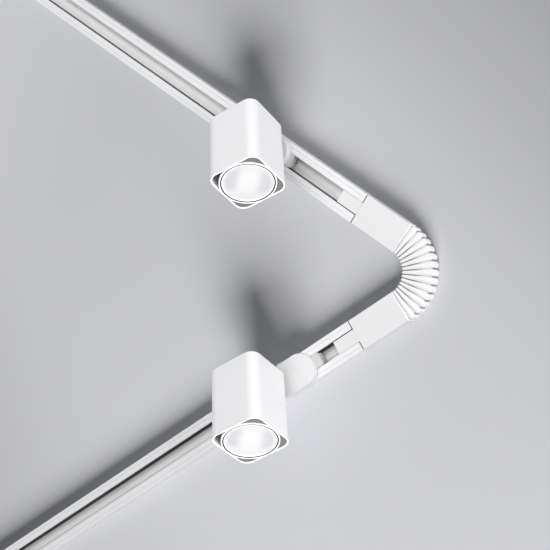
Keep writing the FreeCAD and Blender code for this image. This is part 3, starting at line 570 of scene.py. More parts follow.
class Shape:
    """A mesh under construction in a local frame, in millimetres."""

    def __init__(self) -> None:
        """Starts empty."""
        self.bm = bmesh.new()

    def loft(self, rings: Sequence[Sequence[Sequence[float]]], looped: bool = False) -> "Shape":
        """Skin over rings with equal point counts.

        Args:
            rings: Each ring's points in order.
            looped: The last ring joins the first, as on a hollow shell. Otherwise both ends are closed.
        Returns:
            This shape.
        """
        rows = [[self.bm.verts.new(point) for point in ring] for ring in rings]
        pairs = list(zip(rows, rows[1:])) + ([(rows[-1], rows[0])] if looped else [])
        for low, high in pairs:
            for index in range(len(low)):
                after = (index + 1) % len(low)
                self.bm.faces.new((low[index], low[after], high[after], high[index]))
        if not looped:
            self.bm.faces.new(list(reversed(rows[0])))
            self.bm.faces.new(rows[-1])
        return self

    def bar(self, section: Sequence[Point2], span: tuple[float, float], axis: Axis = Axis.ALONG) -> "Shape":
        """Straight bar with the given section.

        Args:
            section: The section's points.
            span: Its limits along the bar.
            axis: The way the bar runs.
        Returns:
            This shape.
        """
        if axis is Axis.ALONG:
            return self.loft([[(place, a, b) for a, b in section] for place in span])
        return self.loft([[(a, b, place) for a, b in section] for place in span])

    def lathe(self, profile: Sequence[Point2], y: float = 0.0, segments: int = 96) -> "Shape":
        """Body of revolution about an upright axis.

        Args:
            profile: Closed outline as (radius, z).
            y: Where the axis stands.
            segments: Straight pieces around it.
        Returns:
            This shape.
        """
        rings = []
        for index in range(segments):
            turn = math.tau * index / segments
            rings.append([(r * math.cos(turn), y + r * math.sin(turn), z) for r, z in profile])
        return self.loft(rings, looped=True)

    def block(self, x: Point2, y: Point2, z: Point2) -> "Shape":
        """Box between pairs of limits."""
        return self.bar([(y[0], z[0]), (y[1], z[0]), (y[1], z[1]), (y[0], z[1])], x)

    def disc(self, radius: float, z: Point2, x: float = 0.0, y: float = 0.0, segments: int = 64) -> "Shape":
        """Upright cylinder.

        Args:
            radius: Its radius.
            z: Its limits in height.
            x: Its middle along X.
            y: Its middle along Y.
            segments: Straight pieces around it.
        Returns:
            This shape.
        """
        turns = [math.tau * k / segments for k in range(segments)]
        ring = [(x + radius * math.cos(turn), y + radius * math.sin(turn)) for turn in turns]
        return self.bar(ring, z, Axis.UPRIGHT)

    def mesh(self, name: str, place: Place) -> bpy.types.Mesh:
        """Turns the shape into a mesh in metres with its faces outwards.

        Args:
            name: The mesh's name.
            place: The shape's frame.
        Returns:
            The mesh.
        """
        bmesh.ops.remove_doubles(self.bm, verts=self.bm.verts, dist=1e-5)
        bmesh.ops.recalc_face_normals(self.bm, faces=self.bm.faces)
        self.bm.transform(place.full())
        made = bpy.data.meshes.new(name)
        self.bm.to_mesh(made)
        self.bm.free()
        return made


# ---- Workshop ------------------------------------------------------------------------
@dataclass
class Edges:
    """How a piece's edges are softened."""

    width: float = 0.2
    segments: int = 2
    angle: float = 40.0


class Workshop:
    """Turns shapes into finished pieces that ride on the frame's bodies."""

    def __init__(self, frame: dict[str, Any]) -> None:
        """Keeps the frame and makes every finish.
        """
        self.nodes = frame["nodes"]
        self.joints = {joint["name"]: joint for joint in frame["joints"]}
        self.bodies = {name: body for body, names in frame["record"]["behaviour"]["bodies"].items()
                       for name in names}
        self.slots = {part["node"]: part["material_slot"] for part in frame["record"]["subparts"]}
        self.finishes = {finish.name: finish.material() for finish in FINISHES}
        self.made: list[tuple[bpy.types.Object, str]] = []

    def piece(self, name: str, shape: Shape, place: Place, stands_for: str, slot: str = "",
              edges: Edges | None = None, cuts: Sequence[Shape] = (), joins: Sequence[Shape] = (),
              finish: str = "") -> bpy.types.Object:
        """Makes one finished piece in place of a node.

        Args:
            name: The piece's name.
            shape: Its main shape.
            place: The shape's frame.
            stands_for: The node it replaces.
            slot: Material slot, the node's own if empty.
            edges: Edge softening, or None for crisp edges.
            cuts: Shapes taken away.
            joins: Shapes added.
            finish: Finish, the slot's own if empty.
        Returns:
            The piece.
        """
        made = self._new(name, shape.mesh(name, place))
        tools = []
        for kind, others in (("UNION", joins), ("DIFFERENCE", cuts)):
            for other in others:
                tool = self._new(name + "_tool", other.mesh(name + "_tool", place))
                change = made.modifiers.new("change", "BOOLEAN")
                change.operation, change.solver, change.object = kind, "EXACT", tool
                tools.append(tool)
        self._soften(made, edges)
        for tool in tools:
            bpy.data.objects.remove(tool)
        return self.settle(made, stands_for, slot, finish)

    @staticmethod
    def _new(name: str, mesh: bpy.types.Mesh) -> bpy.types.Object:
        """Object at the origin in the scene.

        Args:
            name: Its name.
            mesh: Its mesh.
        Returns:
            The object.
        """
        made = bpy.data.objects.new(name, mesh)
        bpy.context.scene.collection.objects.link(made)
        return made

    def _soften(self, made: bpy.types.Object, edges: Edges | None) -> None:
        """Breaks sharp edges, evens the shading and makes the result a plain mesh.

        Args:
            made: The piece.
            edges: Edge softening, or None for crisp edges.
        """
        made.data.polygons.foreach_set("use_smooth", [True] * len(made.data.polygons))
        if edges is not None:
            soft = made.modifiers.new("soft", "BEVEL")
            soft.limit_method, soft.angle_limit = "ANGLE", math.radians(edges.angle)
            soft.width, soft.segments = edges.width * MM, edges.segments
            soft.miter_outer = "MITER_ARC"
            soft.harden_normals = True
        self.flatten(made)
        if edges is None:
            made.data.set_sharp_from_angle(angle=math.radians(SHARP_ANGLE))
        even = made.modifiers.new("even", "WEIGHTED_NORMAL")
        even.keep_sharp = True
        self.flatten(made)

    @staticmethod
    def flatten(made: bpy.types.Object) -> None:
        """Makes a piece's modified mesh its own, with no modifiers left.

        Args:
            made: The piece.
        """
        graph = bpy.context.evaluated_depsgraph_get()
        final = bpy.data.meshes.new_from_object(made.evaluated_get(graph), preserve_all_data_layers=True,
                                                depsgraph=graph)
        made.modifiers.clear()
        made.data = final

    def settle(self, made: bpy.types.Object, stands_for: str, slot: str = "",
               finish: str = "") -> bpy.types.Object:
        """Gives a piece its finish, body and node.

        Args:
            made: The piece.
            stands_for: The node it replaces.
            slot: Material slot, the node's own if empty.
            finish: Finish, the slot's own if empty.
        Returns:
            The piece.
        """
        slot = slot or self.slots[stands_for]
        made.data.materials.clear()
        made.data.materials.append(self.finishes[finish or slot])
        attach(made, self.bodies[stands_for])
        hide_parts(stands_for)
        self.made.append((made, self.bodies[stands_for]))
        LOG.info("%s on %s, %d faces", made.name, self.bodies[stands_for], len(made.data.polygons))
        return made

    def on_bodies(self, ending: str) -> list[bpy.types.Object]:
        """Pieces that ride on bodies whose names end in a word, with the nodes that still show there."""
        nodes = [node for name, node in self.nodes.items() if self.bodies[name].endswith(ending)]
        return nodes + [piece for piece, body in self.made if body.endswith(ending)]

    def dressed(self, node: str, edges: Edges | None = None, finish: str = "") -> bpy.types.Object:
        """Smooth-shaded copy of a node with softened edges.

        Args:
            node: The node's name.
            edges: Edge softening, or None.
            finish: Finish, the slot's own if empty.
        Returns:
            The piece that stands for the node.
        """
        bm = bmesh.new()
        bm.from_mesh(self.nodes[node].data)
        bmesh.ops.remove_doubles(bm, verts=bm.verts, dist=1e-6)
        bmesh.ops.dissolve_limit(bm, angle_limit=math.radians(FLAT_ANGLE), verts=bm.verts, edges=bm.edges)
        mesh = bpy.data.meshes.new(node + "_finished")
        bm.to_mesh(mesh)
        bm.free()
        made = self._new(node + "_finished", mesh)
        self._soften(made, edges)
        return self.settle(made, node, finish=finish)

    def paint_nodes(self) -> None:
        """Gives every node that still shows the finish of its slot."""
        for name, node in self.nodes.items():
            if not node.hide_render:
                node.data.materials.clear()
                node.data.materials.append(self.finishes[self.slots[name]])
                LOG.info("%s keeps its own mesh", name)


# ---- Geometry Nodes ------------------------------------------------------------------
class Recipe:
    """A Geometry Nodes tree with named inputs that ends in real, painted geometry."""

    KINDS = {float: "NodeSocketFloat", int: "NodeSocketInt", Vector: "NodeSocketVector"}

    def __init__(self, name: str, values: dict[str, Any], material: bpy.types.Material) -> None:
        """Starts a tree.

        Args:
            name: The tree's name.
            values: Named inputs with their values.
            material: What the result is painted with.
        """
        self.tree = bpy.data.node_groups.new(name, "GeometryNodeTree")
        self.tree.interface.new_socket("Geometry", in_out="OUTPUT", socket_type="NodeSocketGeometry")
        self.values = {**values, "Material": material}
        self.ids = {}
        for key, value in self.values.items():
            if isinstance(value, bpy.types.Material):
                kind = "NodeSocketMaterial"
            elif isinstance(value, bpy.types.Object):
                kind = "NodeSocketObject"
            else:
                kind = self.KINDS[type(value)]
            socket = self.tree.interface.new_socket(key, in_out="INPUT", socket_type=kind)
            self.ids[key] = socket.identifier
        self.graph = Graph(self.tree)
        self.source = self.graph.node("NodeGroupInput")

    def __getitem__(self, key: str) -> Term:
        """One of the named inputs."""
        return self.source.out(key)

    def geometry(self, kind: str, settings: dict[str, Any] | None = None, **inputs: Any) -> Made:
        """Adds a geometry node; underscores in socket names stand for spaces."""
        spaced = {key.replace("_", " "): value for key, value in inputs.items()}
        return self.graph.node(kind, settings, spaced)

    def close(self, result: Term) -> None:
        """Ends the tree with real instances and its material.

        Args:
            result: The geometry that the tree has made.
        """
        real = self.geometry("GeometryNodeRealizeInstances", Geometry=result).out(0)
        smooth = self.geometry("GeometryNodeSetShadeSmooth", Geometry=real, Shade_Smooth=True).out(0)
        painted = self.geometry("GeometryNodeSetMaterial", Geometry=smooth, Material=self["Material"]).out(0)
        end = self.graph.node("NodeGroupOutput")
        self.tree.links.new(painted.socket, end.node.inputs[0])

    def run(self, name: str) -> bpy.types.Object:
        """Evaluates the tree on an empty mesh.

        Args:
            name: The piece's name.
        Returns:
            An object with the tree's result as its plain mesh.
        """
        made = bpy.data.objects.new(name, bpy.data.meshes.new(name))
        change = made.modifiers.new("recipe", "NODES")
        change.node_group = self.tree
        for key, value in self.values.items():
            change[self.ids[key]] = tuple(value) if isinstance(value, Vector) else value
        bpy.context.scene.collection.objects.link(made)
        Workshop.flatten(made)
        return made


def copies(shop: Workshop, name: str, template: bpy.types.Object, place: Place, start: Vector,
           steps: tuple[Vector, Vector], counts: tuple[int, int], stands_for: str) -> bpy.types.Object:
    """Rows of one template, by Geometry Nodes.

    Args:
        shop: The workshop.
        name: The piece's name.
        template: Object with the template's mesh in local millimetres; it is removed.
        place: Frame of the rows.
        start: First copy, in local millimetres.
        steps: From one copy to the next along each way of the rows.
        counts: Copies along each way.
        stands_for: The node that the rows replace.
    Returns:
        The piece.
    """
    slot = shop.slots[stands_for]
    values = {"Template": template, "Start": start, "Step one": steps[0], "Step two": steps[1],
              "Count one": counts[0], "Count two": counts[1]}
    recipe = Recipe(name + "_rows", values, shop.finishes[slot])
    lines = []
    for way, origin in (("one", recipe["Start"]), ("two", Vector((0, 0, 0)))):
        line = recipe.geometry("GeometryNodeMeshLine", {"mode": "OFFSET"}, Count=recipe["Count " + way],
                               Start_Location=origin, Offset=recipe["Step " + way])
        lines.append(line.out(0))
    shape = recipe.geometry("GeometryNodeObjectInfo", Object=recipe["Template"]).out("Geometry")
    row = recipe.geometry("GeometryNodeInstanceOnPoints", Points=lines[0], Instance=shape).out(0)
    rows = recipe.geometry("GeometryNodeInstanceOnPoints", Points=lines[1], Instance=row).out(0)
    recipe.close(rows)
    made = recipe.run(name)
    bpy.data.objects.remove(template)
    made.data.transform(place.full())
    made.data.set_sharp_from_angle(angle=math.radians(SHARP_ANGLE))
    return shop.settle(made, stands_for)


# ---- Track rails ---------------------------------------------------------------------
@dataclass
class TrackRail:
    """One surface rail: slotted channel, liners, copper strips and its fixing holes."""

    number: int
    place: Place
    span: tuple[float, float]
    width: float = 35.0
    height: float = 17.0
    wall: float = 1.5
    web: float = 1.8
    slot: float = 16.0
    lip_return: float = 1.6
    lip_return_thickness: float = 1.2
    groove_offset: float = 4.0
    groove_width: float = 0.9
    groove_depth: float = 0.7
    hole_r: float = 2.25
    hole_spacing: float = 440.0
    outer_r: float = 0.45
    soft: float = 0.12
    joint_gap: float = 0.9
    tongue_length: float = 27.0
    # Painted shade under the lips: (near edge, far edge, thickness) of the dark bands.
    shade_band: tuple[float, float, float] = (8.1, 13.2, 1.2)
    shade_band_clearance: float = 0.02
    edge_r: float = 0.3
    return_r: float = 0.25
    inner_r: float = 0.2
    # Painted shade: black strips beside the tongue and in the joint between rail and housing.
    tongue_shade_y: Point2 = (6.95, 7.9)
    tongue_shade_z: Point2 = (-15.3, -14.3)
    joint_shade_y: Point2 = (8.2, 17.0)
    joint_shade_z: Point2 = (-16.3, -15.6)
    shade_setback: float = 0.05
    liner: float = 2.5
    liner_slip: float = 0.1
    strip_recess: float = 0.5
    strip_thickness: float = 1.0
    strip_setback: float = 2.0
    strip_z: Point2 = (-11.9, -9.1)
    earth_half: float = 3.0
    earth_hole_r: float = 2.55

    def section(self) -> list[Point2]:
        """The channel's section: its right half and the mirrored left half.

        Returns:
            The outline's points as (y, z).
        """
        half, face = self.width / 2, -self.height
        inner, top = half - self.wall, -self.height + self.wall
        slot = self.slot / 2
        edge = slot + self.lip_return_thickness
        groove, deep = half - self.groove_offset, face + self.groove_depth
        groove_half, tip = self.groove_width / 2, top + self.lip_return
        right = [
            (half, 0, self.edge_r), (half, face, self.outer_r), (groove + groove_half, face, self.soft),
            (groove, deep, 0), (groove - groove_half, face, self.soft), (slot, face, self.edge_r),
            (slot, tip, self.return_r), (edge, tip, self.return_r), (edge, top, self.inner_r),
            (inner, top, self.inner_r), (inner, -self.web, self.inner_r),
        ]
        left = [(-y, z, radius) for y, z, radius in reversed(right)]
        return rounded(right + left, steps=3)

    def build(self, shop: Workshop) -> None:
        """Makes the rail's pieces.

        Args:
            shop: The workshop.
        """
        name = f"rail_{self.number}"
        middle = sum(self.span) / 2
        through = (-self.web - 1, 1)
        holes = [Shape().disc(self.hole_r, through, middle + side * self.hole_spacing / 2, segments=48)
                 for side in (-1, 1)]
        span = (self.span[0] + self.joint_gap, self.span[1])
        shop.piece(name + "_channel", Shape().bar(self.section(), span), self.place, name + "_profile",
                   cuts=holes)
        shop.dressed(name + "_insulators")
        self.strips(shop, name, middle)
        self.shade_bands(shop, name)
        self.shade_strips(shop)

    def shade_strips(self, shop: Workshop) -> None:
        """Black strips of painted shade beside the corner's tongue, where the gap lies in shadow, and in the
        joint between rail and housing.

        Args:
            shop: The workshop.
        """
        inside = -1 if self.number == 1 else 1
        start, tip = self.span[0] + self.shade_setback, self.span[0] + self.tongue_length
        end = self.span[0] + self.joint_gap - self.shade_setback
        shape = Shape().block((start, tip), sorted(inside * y for y in self.tongue_shade_y), self.tongue_shade_z)
        for side in (-1, 1):
            shape.block((start, end), sorted(side * y for y in self.joint_shade_y), self.joint_shade_z)
        shop.piece(f"connector_{self.number}_seal", shape, self.place, f"connector_{self.number}_cover",
                   "terminal_black", finish="shade_fill")

    def shade_bands(self, shop: Workshop, name: str) -> None:
        """Dark bands of painted shade along both sides of the web, where the floor under the lips lies in
        shadow.

        Args:
            shop: The workshop.
            name: The rail's name.
        """
        near, far, thick = self.shade_band
        shape = Shape()
        for side in (-1, 1):
            across = sorted((side * near, side * far))
            shape.block(self.span, across, (-self.web - thick, -self.web - self.shade_band_clearance))
        shop.piece(name + "_liner_feet", shape, self.place, name + "_insulators", edges=Edges(0.15),
                   finish="under_lip_shade")

    def strips(self, shop: Workshop, name: str, middle: float) -> None:
        """Copper strips in the liners and the tinned earth strip under the web.

        Args:
            shop: The workshop.
            name: The rail's name.
            middle: The rail's middle along its length.
        """
        node = name + "_conductors"
        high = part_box(node)[1].z / MM
        thick = self.strip_thickness
        span = (self.span[0] + self.strip_setback, self.span[1] - self.strip_setback)
        near = self.width / 2 - self.wall - self.liner_slip - self.liner + self.strip_recess
        side_strips = Shape().block(span, (near, near + thick), self.strip_z)
        side_strips.block(span, (-near - thick, -near), self.strip_z)
        shop.piece(name + "_side_strips", side_strips, self.place, node, edges=Edges(0.15))
        through = (high - 3, high + 2)
        holes = [Shape().disc(self.earth_hole_r, through, middle + side * self.hole_spacing / 2)
                 for side in (-1, 1)]
        earth = Shape().block(span, (-self.earth_half, self.earth_half), (high - thick, high))
        shop.piece(name + "_earth_strip", earth, self.place, node, "zinc_steel", Edges(0.15), holes,
                   finish="tinned_strip")


# ---- Flexible corner -----------------------------------------------------------------
@dataclass
class FlexCorner:
    """Pleated sleeve and wires between the two corner housings."""

    place: Place
    turn: float
    start: float = 65.0
    width: float = 36.0
    height: float = 16.6
    middle_z: float = -8.5
    pleats: int = 13
    depth: float = 3.2
    corner_r: float = 2.4
    crest: float = 0.45
    collar: float = 1.6
    wall: float = 1.0
    stations_per_pleat: int = 16
    around: int = 72
    wire_r: float = 1.5
    wire_reach: float = 14.0
    wire_pitch: float = 4.5
    wire_points: int = 64
    wire_sides: int = 16
    blend_setback: float = 15.2
    collar_fade: Point2 = (0.001, 0.4)
    corner_shrink: float = 0.4
    height_share: float = 0.8
    overreach: float = 0.78
    weld: float = 0.001

    @property
    def radius(self) -> float:
        """Radius of the bend's centre line."""
        return self.start / math.tan(math.radians(self.turn / 2))

    def bend(self, recipe: Recipe, along: Term, across: Term | float, up: Term | float) -> Term:
        """Bends a straight run round the corner, with straight leads at both ends.

        Args:
            recipe: The tree.
            along: Distance along the centre line from the bend's start, in millimetres.
            across: Offset to the outer side.
            up: Height above the centre line.
        Returns:
            The place in the corner's frame, in millimetres.
        """
        radius, sweep = recipe["Bend radius"], recipe["Bend angle"]
        angle = (along / radius).held(0.0, sweep)
        lead = along - angle * radius
        reach = radius + across
        x = recipe["Start"] - reach * angle.sin() - lead * angle.cos()
        y = reach * angle.cos() - radius - lead * angle.sin()
        return recipe.graph.combine(x, y, recipe["Height of middle"] + up)

    def inputs(self) -> dict[str, Any]:
        """Named inputs that both trees share."""
        return {"Bend radius": self.radius, "Bend angle": math.radians(self.turn), "Start": self.start,
                "Height of middle": self.middle_z}

    def sleeve(self, shop: Workshop) -> bpy.types.Object:
        """The pleated sleeve, by Geometry Nodes.

        Args:
            shop: The workshop.
        Returns:
            The piece.
        """
        rows = self.pleats * self.stations_per_pleat + 1
        values = {**self.inputs(), "Pleats": float(self.pleats), "Width": self.width, "Height": self.height,
                  "Depth": self.depth, "Corner radius": self.corner_r, "Collar": self.collar,
                  "Crest": self.crest, "Rows": rows, "Points around": self.around + 1}
        recipe = Recipe("pleated_sleeve", values, shop.finishes["bellows_white"])
        grid = recipe.geometry("GeometryNodeMeshGrid", Size_X=1.0, Size_Y=1.0, Vertices_X=recipe["Rows"],
                               Vertices_Y=recipe["Points around"]).out("Mesh")
        x, y, _ = recipe.graph.split(recipe.geometry("GeometryNodeInputPosition").out(0))
        length = recipe["Bend radius"] * recipe["Bend angle"]
        collar = recipe["Collar"]
        along = (x + 0.5) * length
        phase = ((along - collar) / (length - collar * 2)).held(0.0, 1.0)
        wave = (phase * recipe["Pleats"] * math.pi).sin().size()
        in_collar = (along - collar).size() + (length - collar - along).size() - (length - collar * 2)
        in_collar = in_collar.ramp(*self.collar_fade)
        ridge = (wave ** recipe["Crest"]).math("MAXIMUM", in_collar)
        shade = wave.math("MAXIMUM", in_collar)
        inset = recipe["Depth"] * (1 - ridge)
        turn = (y + 0.5) * math.tau
        corner = recipe["Corner radius"] - inset * self.corner_shrink
        half_w = recipe["Width"] / 2 - inset - corner
        half_h = recipe["Height"] / 2 - inset * self.height_share - corner
        reach = recipe["Width"] * self.overreach
        across = (reach * turn.cos()).held(half_w * -1, half_w) + corner * turn.cos()
        up = (reach * turn.sin()).held(half_h * -1, half_h) + corner * turn.sin()
        outer = across / recipe["Width"] + 0.5
        # The ridge and outer attributes place the painted shade of the sleeve's valleys.
        for attribute, value in (("ridge", shade), ("outer", outer)):
            settings = {"data_type": "FLOAT", "domain": "POINT"}
            grid = recipe.geometry("GeometryNodeStoreNamedAttribute", settings, Geometry=grid, Name=attribute,
                                   Value=value).out(0)
        shaped = recipe.geometry("GeometryNodeSetPosition", Geometry=grid,
                                 Position=self.bend(recipe, along, across, up)).out(0)
        closed = recipe.geometry("GeometryNodeMergeByDistance", Geometry=shaped, Distance=self.weld).out(0)
        recipe.close(closed)
        made = recipe.run("pleated_sleeve")
        bm = bmesh.new()
        bm.from_mesh(made.data)
        bmesh.ops.recalc_face_normals(bm, faces=bm.faces)
        bm.to_mesh(made.data)
        bm.free()
        wall = made.modifiers.new("wall", "SOLIDIFY")
        wall.thickness, wall.offset = self.wall, -1
        Workshop.flatten(made)
        made.data.transform(self.place.full())
        return self.span_bend(shop, made, "flex_bellows")

    def wires(self, shop: Workshop) -> bpy.types.Object:
        """Three insulated wires through the sleeve, by Geometry Nodes.

        Args:
            shop: The workshop.
        Returns:
            The piece.
        """
        values = {**self.inputs(), "Wire radius": self.wire_r, "Wire pitch": self.wire_pitch,
                  "Reach": self.wire_reach, "Points": self.wire_points}
        recipe = Recipe("corner_wires", values, shop.finishes["wire_sleeve"])
        grid = recipe.geometry("GeometryNodeMeshLine", {"mode": "OFFSET"}, Count=recipe["Points"],
                               Offset=Vector((1, 0, 0))).out(0)
        length = recipe["Bend radius"] * recipe["Bend angle"]
        index = recipe.geometry("GeometryNodeInputIndex").out(0)
        along = index / (recipe["Points"] - 1) * (length + recipe["Reach"] * 2) - recipe["Reach"]
        profile = recipe.geometry("GeometryNodeCurvePrimitiveCircle", {"mode": "RADIUS"},
                                  Resolution=self.wire_sides, Radius=recipe["Wire radius"]).out(0)
        tubes = recipe.geometry("GeometryNodeJoinGeometry")
        for row in (-1, 0, 1):
            route = self.bend(recipe, along, recipe["Wire pitch"] * row, 0.0)
            line = recipe.geometry("GeometryNodeSetPosition", Geometry=grid, Position=route).out(0)
            curve = recipe.geometry("GeometryNodeMeshToCurve", Mesh=line).out(0)
            tube = recipe.geometry("GeometryNodeCurveToMesh", Curve=curve, Profile_Curve=profile,
                                   Fill_Caps=True)
            recipe.tree.links.new(tube.out(0).socket, tubes.node.inputs[0])
        recipe.close(tubes.out(0))
        made = recipe.run("corner_wires")
        made.data.transform(self.place.full())
        return self.span_bend(shop, made, "flex_wires")

    def span_bend(self, shop: Workshop, made: bpy.types.Object, node: str) -> bpy.types.Object:
        """Paints a piece with its node's finish, bakes its place and hides the node that it replaces.

        Args:
            shop: The workshop.
            made: The piece.
            node: The node it replaces.
        Returns:
            The piece.
        """
        made.data.materials.clear()
        made.data.materials.append(shop.finishes[shop.slots[node]])
        first = self.place.point(self.start, 0, self.middle_z)
        turned = math.radians(self.turn - 180)
        last = self.place.point(self.start * math.cos(turned), self.start * math.sin(turned), self.middle_z)
        inward = (last - first).normalized() * (self.blend_setback * MM)
        first + inward
        last - inward
        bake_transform(made)
        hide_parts(node)
        shop.slots[node]
        LOG.info("%s bends between the rails, %d faces", made.name, len(made.data.polygons))
        return made

    def build(self, shop: Workshop) -> None:
        """Makes the sleeve, the wires and the two housings.

        Args:
            shop: The workshop.
        """
        self.sleeve(shop)
        self.wires(shop)
        for number in (1, 2):
            shop.dressed(f"connector_{number}_cover", Edges(0.12, 2, 50))
            shop.dressed(f"connector_{number}_base", Edges(0.25))
            shop.dressed(f"connector_{number}_contacts", Edges(0.08, 1))


# ---- Adapter -------------------------------------------------------------------------
@dataclass
class Adapter:
    """Adapter of one spotlight: shell, core, screws, spring contact and lock."""

    spot: int
    place: Place
    short: float = 29.5
    long: float = 61.5
    width: float = 36.0
    top: float = -17.3
    bottom: float = -26.0
    wall: float = 1.5
    edge_r: float = 1.0
    stem_r: float = 5.05
    lever_x: tuple[float, float] = (21.0, 40.0)
    lever_z: tuple[float, float] = (-23.5, -20.5)
    screws_x: tuple[float, float] = (-21.0, 53.0)
    rotor_x: float = 25.0
    top_edge: float = 0.25
    edge_steps: int = 6
    screw_z: Point2 = (-23.0, -16.4)
    screw_shaft_r: float = 1.25
    screw_head_r: float = 2.5
    screw_head: float = 1.8
    screw_slot: tuple[float, float, float] = (2.6, 0.3, 0.6)
    rotor_r: float = 5.0
    rotor_z: Point2 = (-23.0, -9.4)
    tab: tuple[float, float] = (12.2, 3.5)
    tab_z: Point2 = (-13.6, -12.2)
    lever_half: float = 2.5
    lever_proud: float = 1.2
    thumb_z: Point2 = (-23.0, -21.0)
    rib_pitch: float = 1.2
    rib_half: float = 0.3
    rib_out: Point2 = (1.5, 0.9)
    rib_z: Point2 = (-22.8, -21.2)

    def ring(self, inset: float, z: float) -> list[tuple[float, float, float]]:
        """Outline of the shell at a height, drawn in by an inset."""
        outline = stadium(inset - self.short, self.long - inset, self.width / 2 - inset)
        return [(x, y, z) for x, y in outline]

    def shell(self) -> Shape:
        """Hollow stadium shell, closed below and open towards the rail.

        Returns:
            The shape.
        """
        rings = [self.ring(self.top_edge, self.top), self.ring(0.0, self.top - self.top_edge)]
        for step in range(self.edge_steps + 1):
            turn = math.radians(90 * step / self.edge_steps)
            rings.append(self.ring(self.edge_r * (1 - math.cos(turn)),
                                   self.bottom + self.edge_r * (1 - math.sin(turn))))
        shape = Shape()
        bm = shape.bm
        outside = [[bm.verts.new(point) for point in ring] for ring in rings]
        inside = [[bm.verts.new(point) for point in self.ring(self.wall, z)]
                  for z in (self.top, self.bottom + self.wall)]
        rows = [inside[1], inside[0]] + outside
        for low, high in zip(rows, rows[1:]):
            for index in range(len(low)):
                after = (index + 1) % len(low)
                bm.faces.new((low[index], low[after], high[after], high[index]))
        bm.faces.new(rows[0])
        bm.faces.new(rows[-1])
        return shape

    def build(self, shop: Workshop) -> None:
        """Makes the adapter's pieces.

        Args:
            shop: The workshop.
        """
        name = f"spot_{self.spot}"
        cuts = [Shape().disc(self.stem_r, (self.bottom - 1, self.bottom + self.wall + 1)),
                Shape().block(self.lever_x, (-self.width, -self.width / 2 + 3), self.lever_z)]
        shop.piece(name + "_adapter_shell", self.shell(), self.place, name + "_adapter_housing", cuts=cuts,
                   edges=Edges(0.15, 2, 50))
        # The core is painted grey for the shade it lies in, deep in the slot.
        shop.dressed(name + "_adapter_core", Edges(0.35, 3, 60), "core_shade_grey")
        self.screws(shop, name)
        shop.dressed(name + "_earth_contact", Edges(0.08, 1))
        shop.dressed(name + "_lock_contacts", Edges(0.08, 1))
        self.rotor(shop, name)

    def screws(self, shop: Workshop, name: str) -> None:
        """Two slotted screws, by Geometry Nodes.

        Args:
            shop: The workshop.
            name: The spotlight's name.
        """
        low, high = self.screw_z
        under, shaft_r, head_r = high - self.screw_head, self.screw_shaft_r, self.screw_head_r
        profile = rounded([(AXIS_R, high, 0), (AXIS_R, low, 0), (shaft_r, low, 0.2), (shaft_r, under, 0),
                           (head_r, under, 0.15), (head_r, high, 0.5)])
        shape = Shape().lathe(profile, segments=40)
        reach, half, deep = self.screw_slot
        slot = Shape().block((-reach, reach), (-half, half), (high - deep, high + 1))
        template = screw_template(shop, "slotted_screw", shape, [slot])
        step = Vector((self.screws_x[1] - self.screws_x[0], 0, 0))
        copies(shop, name + "_core_screws", template, self.place, Vector((self.screws_x[0], 0, 0)),
               (step, Vector((0, 1, 0))), (2, 1), name + "_adapter_screws")

    def rotor(self, shop: Workshop, name: str) -> None:
        """Lock shaft with its tabs, and a thumb lever with grip ribs.

        Args:
            shop: The workshop.
            name: The spotlight's name.
        """
        x, side = self.rotor_x, -self.width / 2
        shaft = Shape().disc(self.rotor_r, self.rotor_z, x)
        reach, half = self.tab
        low, high = self.tab_z
        tabs = Shape().bar([(-reach, low), (reach, low), (reach, high), (-reach, high)], (x - half, x + half))
        across = (x - self.lever_half, x + self.lever_half)
        lever = Shape().block(across, (side - self.lever_proud, 0), self.thumb_z)
        out, back = self.rib_out
        ribs = []
        for row in (-1, 0, 1):
            middle = x + row * self.rib_pitch
            ribs.append(Shape().block((middle - self.rib_half, middle + self.rib_half),
                                      (side - out, side - back), self.rib_z))
        shop.piece(name + "_lock_shaft", shaft, self.place, name + "_lock_rotor", edges=Edges(0.15),
                   joins=[tabs, lever], cuts=ribs)


def screw_template(shop: Workshop, name: str, shape: Shape, cuts: Sequence[Shape]) -> bpy.types.Object:
    """A screw's mesh in local millimetres, kept until it is copied.

    Args:
        shop: The workshop.
        name: The template's name.
        shape: The turned screw.
        cuts: Its driver recess.
    Returns:
        The template object.
    """
    local = Place(Matrix.Scale(1 / MM, 4))
    made = bpy.data.objects.new(name, shape.mesh(name, local))
    bpy.context.scene.collection.objects.link(made)
    tools = []
    for cut in cuts:
        tool = bpy.data.objects.new(name + "_tool", cut.mesh(name + "_tool", local))
        bpy.context.scene.collection.objects.link(tool)
        change = made.modifiers.new("cut", "BOOLEAN")
        change.operation, change.solver, change.object = "DIFFERENCE", "EXACT", tool
        tools.append(tool)
    shop.flatten(made)
    for tool in tools:
        bpy.data.objects.remove(tool)
    return made


